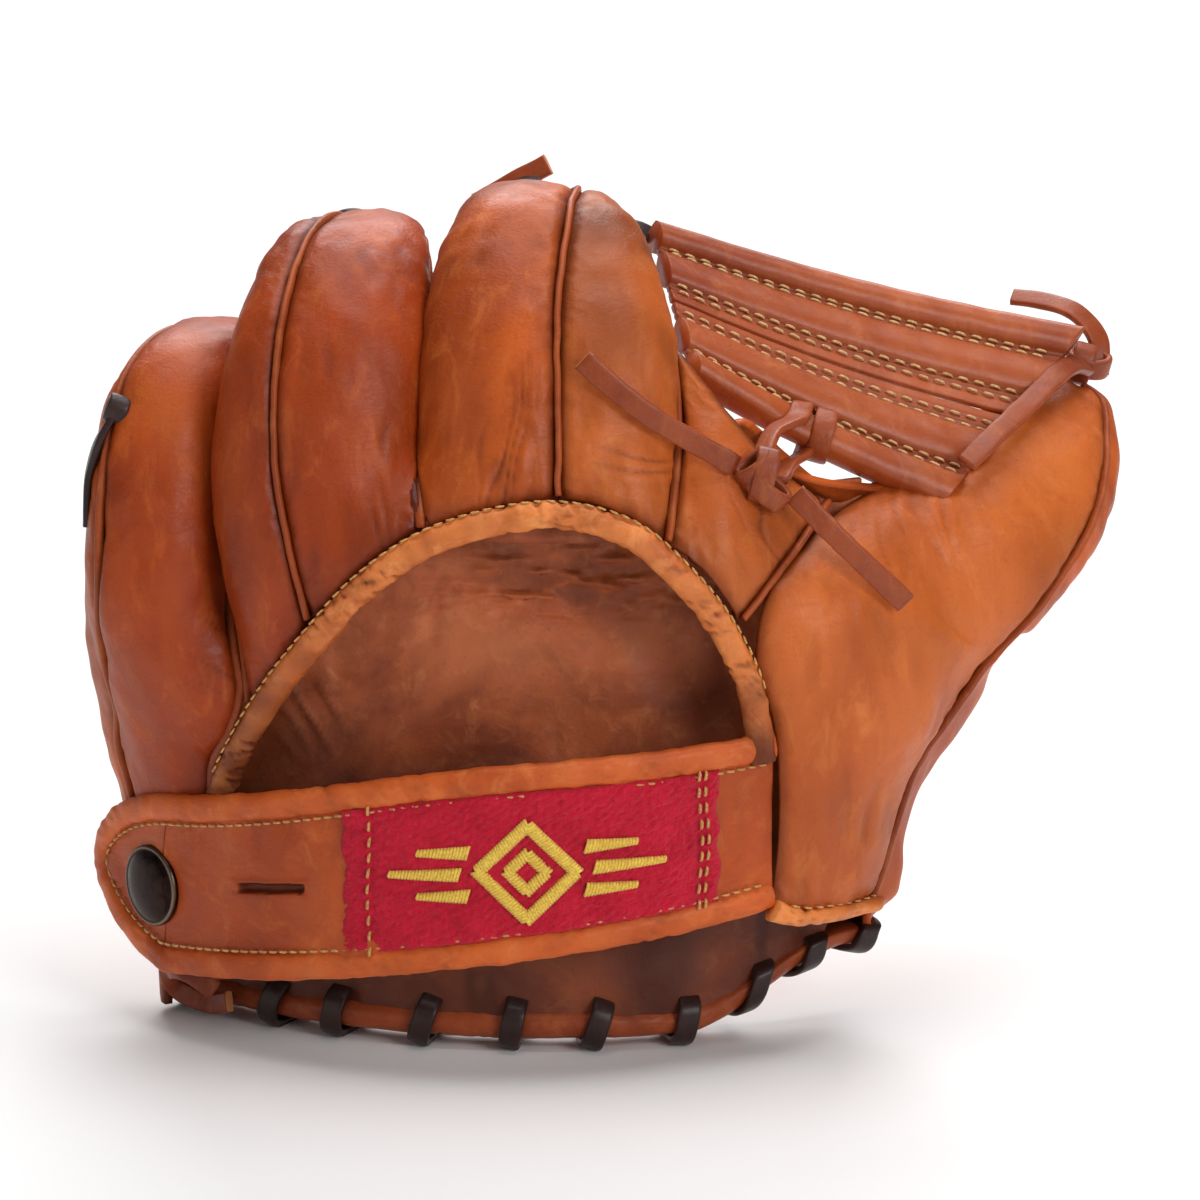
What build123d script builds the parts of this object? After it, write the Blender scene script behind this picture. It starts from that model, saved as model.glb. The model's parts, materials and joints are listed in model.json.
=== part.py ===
"""Vintage three-finger baseball glove for the left hand, standing on its heel.

+X points to the thumb side, +Y to the pocket (palm) side, +Z up to the finger tips.
The origin is on the standing plane, under the middle of the palm's hand side.
All sizes are millimetres.
"""

import os
from math import atan2, cos, hypot, pi, radians, sin, sqrt, tan

from build123d import *

# Leather, padding and welting
LEATHER = 3.0
LINING = 1.4
LAYER_GAP = 0.3
PAD = 8.0
SEAM_GAP = 0.9
WELT_THICKNESS = 1.3
WELT_WIDTH = 4.0
WELT_PROUD = 1.2

# Lacing
LACE_WIDTH = 6.5
LACE_THICKNESS = 2.4
LACE_BEND = 8.0
LACE_HOLE_GAP = 0.4
BEND_SHARE = 0.45

# Depths of the palm's layers, from the hand side to the pocket side
PAD_START = LINING + LAYER_GAP
SHELL_START = PAD_START + PAD + LAYER_GAP
SHELL_END = SHELL_START + LEATHER

# A stall's lining starts above the palm, clear of the leather
SLEEVE_RISE = 2.5
SLEEVE_DEPTH = LEATHER + 1.0

# The welting up the middle of a stall starts this far below the stall's base
CENTRE_WELT_DROP = 25.0

# Heel: the lace's loops reach down to the standing plane
STACK_BOTTOM = 4.2
BINDING_BOTTOM = 2.7
BINDING_TOP = 12.5
BINDING_WALL = 1.2
LOOP_TOP = 16.4
LOOP_CLEARANCE = 2.8
RUNNING_START = 0.03
RUNNING_END = 0.97
HEEL_LOOPS_X = (-117, -91, -73, -49, -25, -2, 23, 43, 58, 72)

# Heel pads, either side of the palm's crease
PAD_BOTTOM = 18.0
PAD_TOP = 132.0
LINING_TOP = 140.0
PAD_SPLIT = (0.05, 0.47, 0.50, 0.90)

# Back opening and its rolled binding
ROLL_RADIUS = 3.7
ROLL_CLEARANCE = 0.4
ROLL_BEND = 12.0

# Wrist strap: layers of a cylinder round the back of the hand
STRAP_CENTRE = (-21.0, 95.0)
STRAP_OUTER = 138.2
STRAP_LEATHER = 2.6
STRAP_LINING = 1.2
STRAP_ROOT_X = 50.0
STRAP_EDGE = 7.5
STRAP_TOP = [(-127, 72), (-50, 91.5)]
STRAP_BOTTOM = [(-127, 18.5), (-50, 32.5)]
STRAP_TIP = (-147, 45)
STRAP_ROOT_TOP = 99.5
STRAP_ROOT_BOTTOM = 46.5
SIDE_OUTER = 130.0
LABEL_THICKNESS = 1.6
LABEL_X = (-74.0, 34.0)
SLIT_X = -95.0
SLIT_Z = 52.0
SLIT_LENGTH = 19.0
SLIT_HEIGHT = 1.7
EMBLEM_CENTRE = (-21.0, 64.0)
EMBLEM_SIZE = 20.0
EMBLEM_HOLE = 12.0
EMBLEM_THICKNESS = 0.8

# Snap fastener
SNAP_X = -130.0
SNAP_Z = 43.5
CAP_RADIUS = 12.0
CAP_HEIGHT = 3.4
CAP_ROUNDING = 2.7
SOCKET_RADIUS = 8.5
SOCKET_BORE = 6.0
SOCKET_DEPTH = 1.6
STUD_RADIUS = 3.5
STUD_HEIGHT = 1.7
STUD_LIFT = 1.3
FLANGE_RADIUS = 6.5
FLANGE = 0.8
PIN_RADIUS = 2.0
PIN_HOLE = 2.3
SOCKET_FLOOR = 0.5
SOCKET_FACE = STRAP_OUTER - STRAP_LEATHER - STRAP_LINING - LAYER_GAP - LAYER_GAP - SOCKET_DEPTH

# Thumb fold: the line from the waist to the crotch, on the pocket side
FOLD_WAIST = (88.0, 32.0, 60.0)
FOLD_CROTCH = (69.0, 43.4, 150.0)
FOLD_GAP = 0.5

# Web: the corners of its two folded panels
WEB_THICKNESS = 6.0
WEB_INDEX_TOP = (18, 62, 227)
WEB_INDEX_BOTTOM = (28, 17, 194)
WEB_THUMB_TOP = (138, 92, 190)
WEB_THUMB_BOTTOM = (91, 45, 155)
WEB_SAG = 3.0
WEB_EDGE_ROUNDING = 2.8
WEB_SPLIT = (0.485, 0.515)

# Lace that ties the web's base to the crotch: a knot with two free tails
WEB_KNOT = (47, -14, 173)
WEB_KNOT_SIZE = (14, 7, 11)
WEB_TAIL_UPPER = [(39, -15, 177), (25, -18, 186), (9, -22, 197), (-5, -20, 210)]
WEB_TAIL_LOWER = [(56, -14, 168.5), (66, -16, 158), (77.5, -15, 146.5), (88, -11, 135)]

# The other laces: over the finger tips, and at the pinky, index and thumb
FINGER_TIP_LACE = [(-117, 79, 195), (-92, 78, 212), (-69, 72, 233), (-44, 71, 236), (-17, 68, 242)]
INDEX_TIP_LACE = [(-31, 72, 242), (-14, 72, 248)]
WEB_INDEX_LACE = [(3, 57, 236), (15, 60, 233)]
PINKY_KNOT = (-143, 4, 187)
PINKY_KNOT_SIZE = (8, 6, 9)
PINKY_TAIL = [(-144, 4, 184), (-150, -5, 156)]
THUMB_KNOT = (145, 89, 180)
THUMB_KNOT_SIZE = (7, 7, 9)
THUMB_TAIL = [(146, 92, 183), (126, 102, 205)]

# Further than any piece reaches
REACH = 160.0

os.makedirs("parts", exist_ok=True)


def save(piece, name):
    """Label a finished piece and write it to its own file."""
    piece.label = name
    export_step(piece, f"parts/{name}.step")


# ------------------------------------------------------------ arcs and sections


def circle_through(first, second, third):
    """Centre and radius of the circle through three points of a sketch."""
    (ax, ay), (bx, by), (cx, cy) = first, second, third
    twice_area = 2 * (ax * (by - cy) + bx * (cy - ay) + cx * (ay - by))
    a2, b2, c2 = ax * ax + ay * ay, bx * bx + by * by, cx * cx + cy * cy
    x = (a2 * (by - cy) + b2 * (cy - ay) + c2 * (ay - by)) / twice_area
    y = (a2 * (cx - bx) + b2 * (ax - cx) + c2 * (bx - ax)) / twice_area
    return (x, y), hypot(ax - x, ay - y)


def turn(start, end):
    """Signed turn from one angle to another, the short way round."""
    return (end - start + pi) % (2 * pi) - pi


def along_arc(left, middle, right, share):
    """Point at a share of the way along the arc from left through middle to right."""
    (x, y), radius = circle_through(left, middle, right)
    start, half, end = (atan2(py - y, px - x) for px, py in (left, middle, right))
    angle = start + (turn(start, half) + turn(half, end)) * share
    return (x + radius * cos(angle), y + radius * sin(angle))


class Crescent:
    """Open cross section: an arc whose layers are concentric with it."""

    def __init__(self, plane, left, middle, right):
        self.plane = plane
        self.arc = (left, middle, right)

    def point(self, share, depth):
        """Point at a share of the arc, moved towards the arc's centre by the depth."""
        (x, y), radius = circle_through(*self.arc)
        px, py = along_arc(*self.arc, share)
        scale = (radius - depth) / radius
        return (x + (px - x) * scale, y + (py - y) * scale)


class Bulge:
    """Half of a stall's cross section: an arc whose layers all end on the seam line."""

    def __init__(self, plane, width, bulge, seam):
        self.plane = plane
        self.width = width
        self.bulge = bulge
        self.seam = seam

    def point(self, share, depth):
        """Point at a share of the half section, this deep under its surface."""
        scale = (abs(self.bulge) - depth) / abs(self.bulge)
        end = self.width * scale
        return along_arc((-end, self.seam), (0, self.bulge * scale), (end, self.seam), share)


def level(height):
    """Horizontal plane at a height."""
    return Plane.XY.offset(height)


def between(lower, upper, height):
    """Level crescent at a height between two others."""
    low, high = lower.plane.origin.Z, upper.plane.origin.Z
    share = (height - low) / (high - low)
    points = [
        (x1 + (x2 - x1) * share, y1 + (y2 - y1) * share)
        for (x1, y1), (x2, y2) in zip(lower.arc, upper.arc)
    ]
    return Crescent(level(height), *points)


# The palm lining's hand-side face, from the heel to the crotches
HEEL = Crescent(level(0), (-119, 30), (-22, -14), (76, 16))
WRIST = Crescent(level(40), (-131, 34), (-25, -10), (84, 14))
PALM = [
    between(HEEL, WRIST, STACK_BOTTOM),
    between(HEEL, WRIST, 22),
    WRIST,
    Crescent(level(80), (-141, 34), (-25, -2), (92, 18)),
    Crescent(level(120), (-146, 30), (-25, 4), (96, 24)),
    Crescent(level(142.5), (-148, 26), (-25, 6), (92, 24)),
]


def finger(*stations):
    """Planes, widths and depths of a finger stall that curls towards the pocket.

    A station is its position, its lean in degrees, its half width at the seams, and its
    depths from the seams to the back and to the front.
    """
    planes = []
    for position, lean, *sizes in stations:
        normal = (0, sin(radians(lean)), cos(radians(lean)))
        planes.append((Plane(origin=position, x_dir=(1, 0, 0), z_dir=normal), *sizes))
    return planes


def thumb(*stations):
    """Planes, widths and depths of the thumb stall, across its middle line."""
    middle_line = [Vector(*position) for position, *sizes in stations]
    planes = []
    for n, (position, *sizes) in enumerate(stations):
        along = middle_line[min(n + 1, len(stations) - 1)] - middle_line[max(n - 1, 0)]
        outward = (along.Z, 0, -along.X)
        planes.append((Plane(origin=position, x_dir=outward, z_dir=along), *sizes))
    return planes


PINKY = finger(
    ((-128.5, 12, 142), 0, 20.5, 23, 23),
    ((-127.5, 17, 168), 15, 19.8, 20, 18),
    ((-122, 30, 188), 40, 19, 17, 15),
    ((-114, 49, 199), 65, 16, 12, 11),
    ((-109, 70, 201), 82, 10, 4.5, 4.5),
)
MIDDLE = finger(
    ((-79, -2, 142), 0, 27.2, 24, 26),
    ((-78.5, 2, 178), 12, 26.6, 22, 20),
    ((-75, 14, 210), 35, 25, 19, 16),
    ((-71, 36, 228), 65, 20, 13, 12),
    ((-69, 60, 231), 85, 12, 4.5, 4.5),
)
INDEX = finger(
    ((-12.5, -4, 142), 0, 36.5, 25, 23),
    ((-12.5, 0, 180), 10, 37, 24, 20),
    ((-14, 12, 214), 30, 33, 21, 17),
    ((-16, 34, 236), 62, 25, 14, 12),
    ((-17, 58, 240), 84, 15, 4.5, 4.5),
)
THUMB = thumb(
    ((58, 14, 96), 44, 23, 20),
    ((90, 25, 129), 33.5, 22, 18),
    ((111, 36, 137), 24, 19, 15),
    ((124, 50, 149), 20.5, 15, 13),
    ((133, 66, 163), 14.5, 10, 9),
    ((136, 78, 171), 8.5, 4.5, 4.5),
)

# The back panels below the stalls, down to the wrist
PINKY_WRIST = ((-130.2, 24), (-115.5, 5.7), (-97.4, -10.2))
PINKY_SIDE = [
    *[Crescent(level(height), *PINKY_WRIST) for height in (18, 36, 54, 72)],
    Crescent(level(88), (-135.5, 21), (-120, 1), (-100.5, -10)),
    Crescent(level(105), (-143.5, 16), (-125.5, -5), (-104, -8)),
    Crescent(level(124), (-148, 14), (-127.5, -9), (-107, 0)),
]
MIDDLE_BASE = [
    Crescent(level(100), (-102, -8), (-79, -27), (-52.5, -22)),
    Crescent(level(121), (-104, -6), (-79, -27), (-52, -12)),
]
THUMB_SIDE = [
    Crescent(level(16), (52.5, -17), (64, -9), (77, 6)),
    Crescent(level(38), (52.5, -20), (66.5, -11), (82, 6)),
    Crescent(level(60), (52.5, -22), (69, -12), (87, 7)),
    Crescent(level(80), (52.5, -23), (68, -14), (86, 2)),
    Crescent(level(100), (51, -23), (66, -15), (80, -3)),
    Crescent(level(120), (40, -25), (58, -18), (76, -6)),
    Crescent(level(138), (30, -23), (50, -17), (72, -6)),
    Crescent(level(155), (28, -16), (43, -13), (64, -4)),
    Crescent(level(171), (27, -11), (36, -10), (49, -3)),
    Crescent(level(186), (26.5, -6), (30, -5.5), (34, -4)),
]

# The seam between the gusset and the thumb's side, square to the back
GUSSET_SEAM = Plane(origin=(41, 0, 131), x_dir=(0, 1, 0), z_dir=(-1, 0, 1))

# The back opening's edge, from the pinky side over the top to the thumb side
OPENING_ROUTE = [
    (-112.5, 0, 81),
    (-101, -11, 105),
    (-85, -23, 130),
    (-60, -27, 156),
    (-31, -28, 168),
    (2, -28, 168),
    (28, -27, 148),
    (45, -24, 120),
    (50, -23, 103.5),
]


# ------------------------------------------------------------ leather operations


def panel(sections, start, end, near, far):
    """Leather through the sections, between two shares of each arc and two depths."""
    shares = (start, (start + end) / 2, end)
    with BuildPart() as leather:
        for section in sections:
            with BuildSketch(section.plane):
                with BuildLine():
                    outer = ThreePointArc(*[section.point(share, near) for share in shares])
                    inner = ThreePointArc(*[section.point(share, far) for share in shares])
                    Line(outer @ 0, inner @ 0)
                    Line(outer @ 1, inner @ 1)
                make_face()
        loft()
    return leather.part


def halves(stations, side):
    """Half sections of a stall on its back (-1) or its front (+1)."""
    return [
        Bulge(plane, width, -back if side < 0 else front, side * SEAM_GAP)
        for plane, width, back, front in stations
    ]


def stall_inside(stations, depth):
    """Solid of everything deeper than this inside a stall."""
    with BuildPart() as inside:
        for plane, width, back, front in stations:
            end = width * (min(back, front) - depth) / min(back, front)
            with BuildSketch(plane):
                with BuildLine():
                    ThreePointArc((-end, 0), (0, depth - back), (end, 0))
                    ThreePointArc((end, 0), (0, front - depth), (-end, 0))
                make_face()
        loft()
    return inside.part


def sleeve(stations):
    """Lining sleeve inside a stall, from just above its base to near its tip."""
    (base, *sizes), *rest = stations[:-1]
    lined = [(base.offset(SLEEVE_RISE), *sizes), *rest]
    return without(stall_inside(lined, SLEEVE_DEPTH), stall_inside(lined, SLEEVE_DEPTH + LINING))


def edge_welt(stations, side, extra=0):
    """Welting between a stall's back and front, along its left (-1) or right (+1) seam."""
    with BuildPart() as welt:
        for plane, width, back, front in stations:
            with BuildSketch(plane):
                with Locations((side * (width + WELT_PROUD - WELT_WIDTH / 2), 0)):
                    Rectangle(WELT_WIDTH + 2 * extra, WELT_THICKNESS + 2 * extra)
        loft()
    return welt.part


def centre_welt(stations, extra=0):
    """Welting up the middle of a stall's back, from below the opening's edge."""
    base, *sizes = stations[0]
    with BuildPart() as welt:
        for plane, width, back, front in [(base.offset(-CENTRE_WELT_DROP), *sizes), *stations]:
            with BuildSketch(plane):
                with Locations((0, WELT_WIDTH / 2 - back - WELT_PROUD)):
                    Rectangle(WELT_THICKNESS + 2 * extra, WELT_WIDTH + 8 * extra)
        loft()
    return welt.part


def stall_clearance(stations):
    """Room inside a stall's leather for its edge welts and its lining."""
    welts = [edge_welt(stations, side, LAYER_GAP) for side in (-1, 1)]
    return [stall_inside(stations[:-1], SLEEVE_DEPTH - LAYER_GAP), *welts]


def without(piece, *cutters):
    """A piece less the cutters' solids."""
    with BuildPart() as rest:
        add(piece)
        for cutter in cutters:
            add(cutter, mode=Mode.SUBTRACT)
    return rest.part


def largest(piece):
    """The largest solid of a piece, without the slivers that a cut leaves."""
    return piece.solids().sort_by(SortBy.VOLUME)[-1]


def trimmed(piece, low, high):
    """The part of a piece between two heights."""
    with BuildPart() as rest:
        add(piece)
        split(bisect_by=level(low), keep=Keep.TOP)
        split(bisect_by=level(high), keep=Keep.BOTTOM)
    return rest.part


def rope(route, radius, bend):
    """Round roll along a route of straight runs and tangent bends."""
    with BuildPart() as roll:
        with BuildLine() as path:
            FilletPolyline(*route, radius=bend)
        with BuildSketch(Plane(origin=path.line @ 0, z_dir=path.line % 0)):
            Circle(radius)
        sweep(path=path.line)
    return roll.part


def bend_radii(route):
    """Radius at each corner of a free lace's route, as large as the two runs allow."""
    points = [Vector(*point) for point in route]
    radii = []
    for before, corner, after in zip(points, points[1:], points[2:]):
        run_in, run_out = corner - before, after - corner
        half_turn = radians(run_in.get_angle(run_out)) / 2
        radii.append(BEND_SHARE * min(run_in.length, run_out.length) / tan(half_turn))
    return radii


def lace(route, facing, bend=LACE_BEND):
    """Flat lace along a route, with its flat side towards a direction at the start."""
    with BuildPart() as strip:
        with BuildLine() as path:
            if len(route) == 2:
                Line(*route)
            else:
                FilletPolyline(*route, radius=bend)
        along = path.line % 0
        across = along.cross(Vector(*facing))
        with BuildSketch(Plane(origin=path.line @ 0, x_dir=across, z_dir=along)):
            Rectangle(LACE_WIDTH, LACE_THICKNESS)
        sweep(path=path.line)
    return strip.part


def fold_plane(shift):
    """Plane through the fold line and the depth of the glove, moved towards the thumb."""
    rise = FOLD_CROTCH[2] - FOLD_WAIST[2]
    run = FOLD_CROTCH[0] - FOLD_WAIST[0]
    return Plane(origin=FOLD_WAIST, x_dir=(0, 1, 0), z_dir=(rise, 0, -run)).offset(shift)


def hand_side(piece):
    """The part of a piece on the hand's side of the thumb fold."""
    with BuildPart() as kept:
        add(piece)
        split(bisect_by=fold_plane(-FOLD_GAP / 2), keep=Keep.BOTTOM)
    return kept.part


def thumb_side(piece):
    """The part of a piece on the thumb's side of the thumb fold."""
    with BuildPart() as kept:
        add(piece)
        split(bisect_by=fold_plane(FOLD_GAP / 2), keep=Keep.TOP)
    return kept.part


# ------------------------------------------------------------ back opening

opening_roll = rope(OPENING_ROUTE, ROLL_RADIUS, ROLL_BEND)
roll_clearance = rope(OPENING_ROUTE, ROLL_RADIUS + ROLL_CLEARANCE, ROLL_BEND)

with BuildPart() as opening_cutter:
    with BuildSketch(Plane.XZ.offset(-REACH / 4)):
        with BuildLine():
            Polyline(*[(x, z) for x, y, z in OPENING_ROUTE], close=True)
        make_face()
    extrude(amount=REACH / 2)


def opened(piece):
    """A back panel trimmed to the edge of the opening, with room for the binding."""
    return without(piece, opening_cutter.part, roll_clearance)


save(opening_roll, "opening_binding")


# ------------------------------------------------------------ heel lace


def loop_plane(x):
    """Plane across the heel at an x, its x axis into the palm and its y axis up."""
    section = between(HEEL, WRIST, LOOP_TOP / 2)
    share = min((n / 400 for n in range(401)), key=lambda s: abs(section.point(s, 0)[0] - x))
    near, far = section.point(share, 0), section.point(share, 1)
    inward = (far[0] - near[0], far[1] - near[1], 0)
    tangent = Vector(*inward).cross(Vector(0, 0, 1))
    return Plane(origin=(*near, 0), x_dir=inward, z_dir=tangent)


def heel_loop(x):
    """One turn of the heel lace: under the edge and back through the palm."""
    depth = SHELL_END + 2 * (LOOP_CLEARANCE + LACE_THICKNESS)
    with BuildPart() as loop:
        with BuildSketch(loop_plane(x)):
            with Locations((SHELL_END / 2, LOOP_TOP / 2)):
                RectangleRounded(depth, LOOP_TOP, LACE_THICKNESS)
                Rectangle(
                    depth - 2 * LACE_THICKNESS, LOOP_TOP - 2 * LACE_THICKNESS, mode=Mode.SUBTRACT
                )
        extrude(amount=LACE_WIDTH / 2, both=True)
    return loop.part


with BuildPart() as lace_holes:
    for x in HEEL_LOOPS_X:
        with BuildSketch(loop_plane(x)):
            with Locations((SHELL_END / 2, LOOP_TOP - LACE_THICKNESS / 2)):
                Rectangle(SHELL_END + 2 * LEATHER, LACE_THICKNESS + 2 * LACE_HOLE_GAP)
        extrude(amount=LACE_WIDTH / 2 + LACE_HOLE_GAP, both=True)

running_near = SHELL_END + LOOP_CLEARANCE
running_far = running_near + LACE_THICKNESS
with BuildPart() as heel_lace:
    for x in HEEL_LOOPS_X:
        add(heel_loop(x))
    running = [between(HEEL, WRIST, z) for z in (LOOP_TOP - LACE_WIDTH, LOOP_TOP)]
    add(panel(running, RUNNING_START, RUNNING_END, running_near, running_far))
save(heel_lace.part, "heel_lace")

with BuildPart() as heel_binding:
    outside = [between(HEEL, WRIST, z) for z in (BINDING_BOTTOM, BINDING_TOP)]
    inside = [between(HEEL, WRIST, z) for z in (BINDING_BOTTOM + BINDING_WALL, BINDING_TOP + 1)]
    add(panel(outside, 0, 1, -BINDING_WALL - LAYER_GAP, SHELL_END + BINDING_WALL + LAYER_GAP))
    add(panel(inside, -0.02, 1.02, -LAYER_GAP, SHELL_END + LAYER_GAP), mode=Mode.SUBTRACT)
save(heel_binding.part, "heel_binding")


# ------------------------------------------------------------ palm

with BuildPart() as palm_shell:
    add(hand_side(without(panel(PALM, 0, 1, SHELL_START, SHELL_END), lace_holes.part)))
    for stations in (PINKY, MIDDLE, INDEX):
        add(panel(halves(stations, 1), 0, 1, 0, LEATHER))
save(palm_shell.part, "palm_shell")

lining = without(panel(PALM, 0, 1, 0, LINING), lace_holes.part)
save(trimmed(hand_side(lining), 0, LINING_TOP), "palm_lining")

pinky_start, pinky_end, thumb_start, thumb_end = PAD_SPLIT
pinky_pad = panel(PALM, pinky_start, pinky_end, PAD_START, PAD_START + PAD)
save(trimmed(pinky_pad, PAD_BOTTOM, PAD_TOP), "pinky_heel_pad")
thumb_pad = panel(PALM, thumb_start, thumb_end, PAD_START, PAD_START + PAD)
save(trimmed(hand_side(thumb_pad), PAD_BOTTOM, PAD_TOP), "thumb_heel_pad")


# ------------------------------------------------------------ finger backs and linings

for name, stations, base in (("middle", MIDDLE, MIDDLE_BASE), ("index", INDEX, [])):
    whole = panel(base + halves(stations, -1), 0, 1, 0, LEATHER)
    slot = centre_welt(stations, SEAM_GAP - WELT_THICKNESS / 2)
    back = without(opened(whole), slot, *stall_clearance(stations))
    outer, inner = back.solids().sort_by(SortBy.VOLUME)[-2:].sort_by(Axis.X)
    save(outer, f"{name}_back_outer")
    save(inner, f"{name}_back_inner")
    save(opened(centre_welt(stations)), f"{name}_welt_centre")

for name, stations in (("pinky", PINKY), ("middle", MIDDLE), ("index", INDEX)):
    save(without(sleeve(stations), roll_clearance), f"{name}_lining")
    save(without(edge_welt(stations, -1), roll_clearance), f"{name}_welt_outer")
    save(without(edge_welt(stations, 1), roll_clearance), f"{name}_welt_inner")


# ------------------------------------------------------------ snap fastener


def snap_plane(radius):
    """Plane across the snap's axis, at a distance from the strap's centre."""
    x = (SNAP_X - STRAP_CENTRE[0]) / STRAP_OUTER
    y = -sqrt(1 - x * x)
    origin = (STRAP_CENTRE[0] + radius * x, STRAP_CENTRE[1] + radius * y, SNAP_Z)
    return Plane(origin=origin, x_dir=(0, 0, 1), z_dir=(x, y, 0))


def snap_hole(piece):
    """A leather layer with the hole for a snap's pin."""
    with BuildPart() as punched:
        add(piece)
        with BuildSketch(snap_plane(SIDE_OUTER - 2 * LEATHER)):
            Circle(PIN_HOLE)
        extrude(amount=STRAP_OUTER - SIDE_OUTER + 4 * LEATHER, mode=Mode.SUBTRACT)
    return punched.part


snap_axis = Axis(origin=snap_plane(0).origin, direction=snap_plane(0).z_dir)

with BuildPart() as snap_cap:
    with BuildSketch(snap_plane(STRAP_OUTER + LAYER_GAP / 2)):
        Circle(CAP_RADIUS)
    extrude(amount=CAP_HEIGHT)
    fillet(snap_cap.faces().sort_by(snap_axis)[-1].edges(), CAP_ROUNDING)
    with BuildSketch(snap_plane(SOCKET_FACE + SOCKET_DEPTH)):
        Circle(PIN_RADIUS)
    extrude(amount=STRAP_OUTER + LAYER_GAP - SOCKET_FACE - SOCKET_DEPTH)
save(snap_cap.part, "snap_cap")

with BuildPart() as snap_socket:
    with BuildSketch(snap_plane(SOCKET_FACE)):
        Circle(SOCKET_RADIUS)
    extrude(amount=SOCKET_DEPTH)
    with BuildSketch(snap_plane(SOCKET_FACE)):
        Circle(SOCKET_BORE)
    extrude(amount=SOCKET_DEPTH - SOCKET_FLOOR, mode=Mode.SUBTRACT)
save(snap_socket.part, "snap_socket")

with BuildPart() as snap_stud:
    with BuildSketch(snap_plane(SIDE_OUTER + STUD_LIFT)):
        Circle(FLANGE_RADIUS)
    extrude(amount=FLANGE)
    with BuildSketch(snap_plane(SIDE_OUTER + STUD_LIFT)):
        Circle(STUD_RADIUS)
    extrude(amount=STUD_HEIGHT)
    fillet(snap_stud.faces().sort_by(snap_axis)[-1].edges(), FLANGE / 2)
save(snap_stud.part, "snap_stud")

with BuildPart() as snap_post:
    with BuildSketch(snap_plane(SIDE_OUTER - LEATHER - FLANGE - LAYER_GAP)):
        Circle(FLANGE_RADIUS)
    extrude(amount=FLANGE)
    with BuildSketch(snap_plane(SIDE_OUTER - LEATHER - LAYER_GAP)):
        Circle(PIN_RADIUS)
    extrude(amount=LEATHER + LAYER_GAP)
save(snap_post.part, "snap_post")


# ------------------------------------------------------------ wrist sides of the back

pinky_leather = panel(PINKY_SIDE + halves(PINKY, -1), 0, 1, 0, LEATHER)
save(largest(snap_hole(opened(without(pinky_leather, *stall_clearance(PINKY))))), "pinky_back")

with BuildPart() as gusset:
    add(hand_side(opened(panel(THUMB_SIDE, 0, 1, 0, LEATHER))))
    split(bisect_by=GUSSET_SEAM.offset(SEAM_GAP), keep=Keep.TOP)
save(gusset.part, "crotch_gusset")

with BuildPart() as thumb_side_panel:
    add(hand_side(opened(panel(THUMB_SIDE, 0, 1, 0, LEATHER))))
    split(bisect_by=GUSSET_SEAM.offset(-SEAM_GAP), keep=Keep.BOTTOM)
save(thumb_side_panel.part, "thumb_side_panel")

with BuildPart() as gusset_welt:
    add(hand_side(opened(panel(THUMB_SIDE, 0, 1, -WELT_PROUD, WELT_WIDTH - WELT_PROUD))))
    split(bisect_by=GUSSET_SEAM.offset(WELT_THICKNESS / 2), keep=Keep.BOTTOM)
    split(bisect_by=GUSSET_SEAM.offset(-WELT_THICKNESS / 2), keep=Keep.TOP)
save(gusset_welt.part, "gusset_welt")


# ------------------------------------------------------------ thumb

for name, side in (("thumb_back", -1), ("thumb_front", 1)):
    leather = panel(halves(THUMB, side), 0, 1, 0, LEATHER)
    save(thumb_side(without(leather, *stall_clearance(THUMB))), name)
save(thumb_side(without(sleeve(THUMB), *stall_clearance(THUMB)[1:])), "thumb_lining")
save(thumb_side(edge_welt(THUMB, 1)), "thumb_welt_outer")
save(thumb_side(edge_welt(THUMB, -1)), "thumb_welt_inner")


# ------------------------------------------------------------ wrist strap


def strap_outline(inset, past_root):
    """Strap seen from the back of the hand, inset all round and run past its root."""
    root = STRAP_ROOT_X + past_root
    with BuildSketch(Plane.XZ.offset(-REACH / 2)) as outline:
        with BuildLine():
            top = ThreePointArc(*STRAP_TOP, (root, STRAP_ROOT_TOP))
            bottom = ThreePointArc(*STRAP_BOTTOM, (root, STRAP_ROOT_BOTTOM))
            ThreePointArc(top @ 0, STRAP_TIP, bottom @ 0)
            Line(top @ 1, bottom @ 1)
        make_face()
        if inset:
            offset(amount=-inset, kind=Kind.INTERSECTION)
    return outline.sketch


def strap_layer(inner, outer, inset=0, past_root=0):
    """Layer of the strap between two radii of its cylinder."""
    with BuildPart() as layer:
        with BuildSketch():
            with Locations(STRAP_CENTRE):
                Circle(outer)
                Circle(inner, mode=Mode.SUBTRACT)
        extrude(amount=REACH)
        outline = strap_outline(inset, past_root)
        extrude(outline, amount=REACH, dir=(0, -1, 0), mode=Mode.INTERSECT)
    return layer.part


def slit(piece):
    """A strap layer with the slit near its snap end."""
    with BuildPart() as cut:
        add(piece)
        with BuildSketch(Plane.XZ):
            with Locations((SLIT_X, SLIT_Z)):
                SlotOverall(SLIT_LENGTH, SLIT_HEIGHT)
        extrude(amount=REACH / 2, mode=Mode.SUBTRACT)
    return cut.part


lining_outer = STRAP_OUTER - STRAP_LEATHER - LAYER_GAP
lining_inner = lining_outer - STRAP_LINING
save(slit(snap_hole(strap_layer(STRAP_OUTER - STRAP_LEATHER, STRAP_OUTER, 1))), "strap_panel")
save(slit(snap_hole(strap_layer(lining_inner, lining_outer, 1))), "strap_lining")

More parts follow.
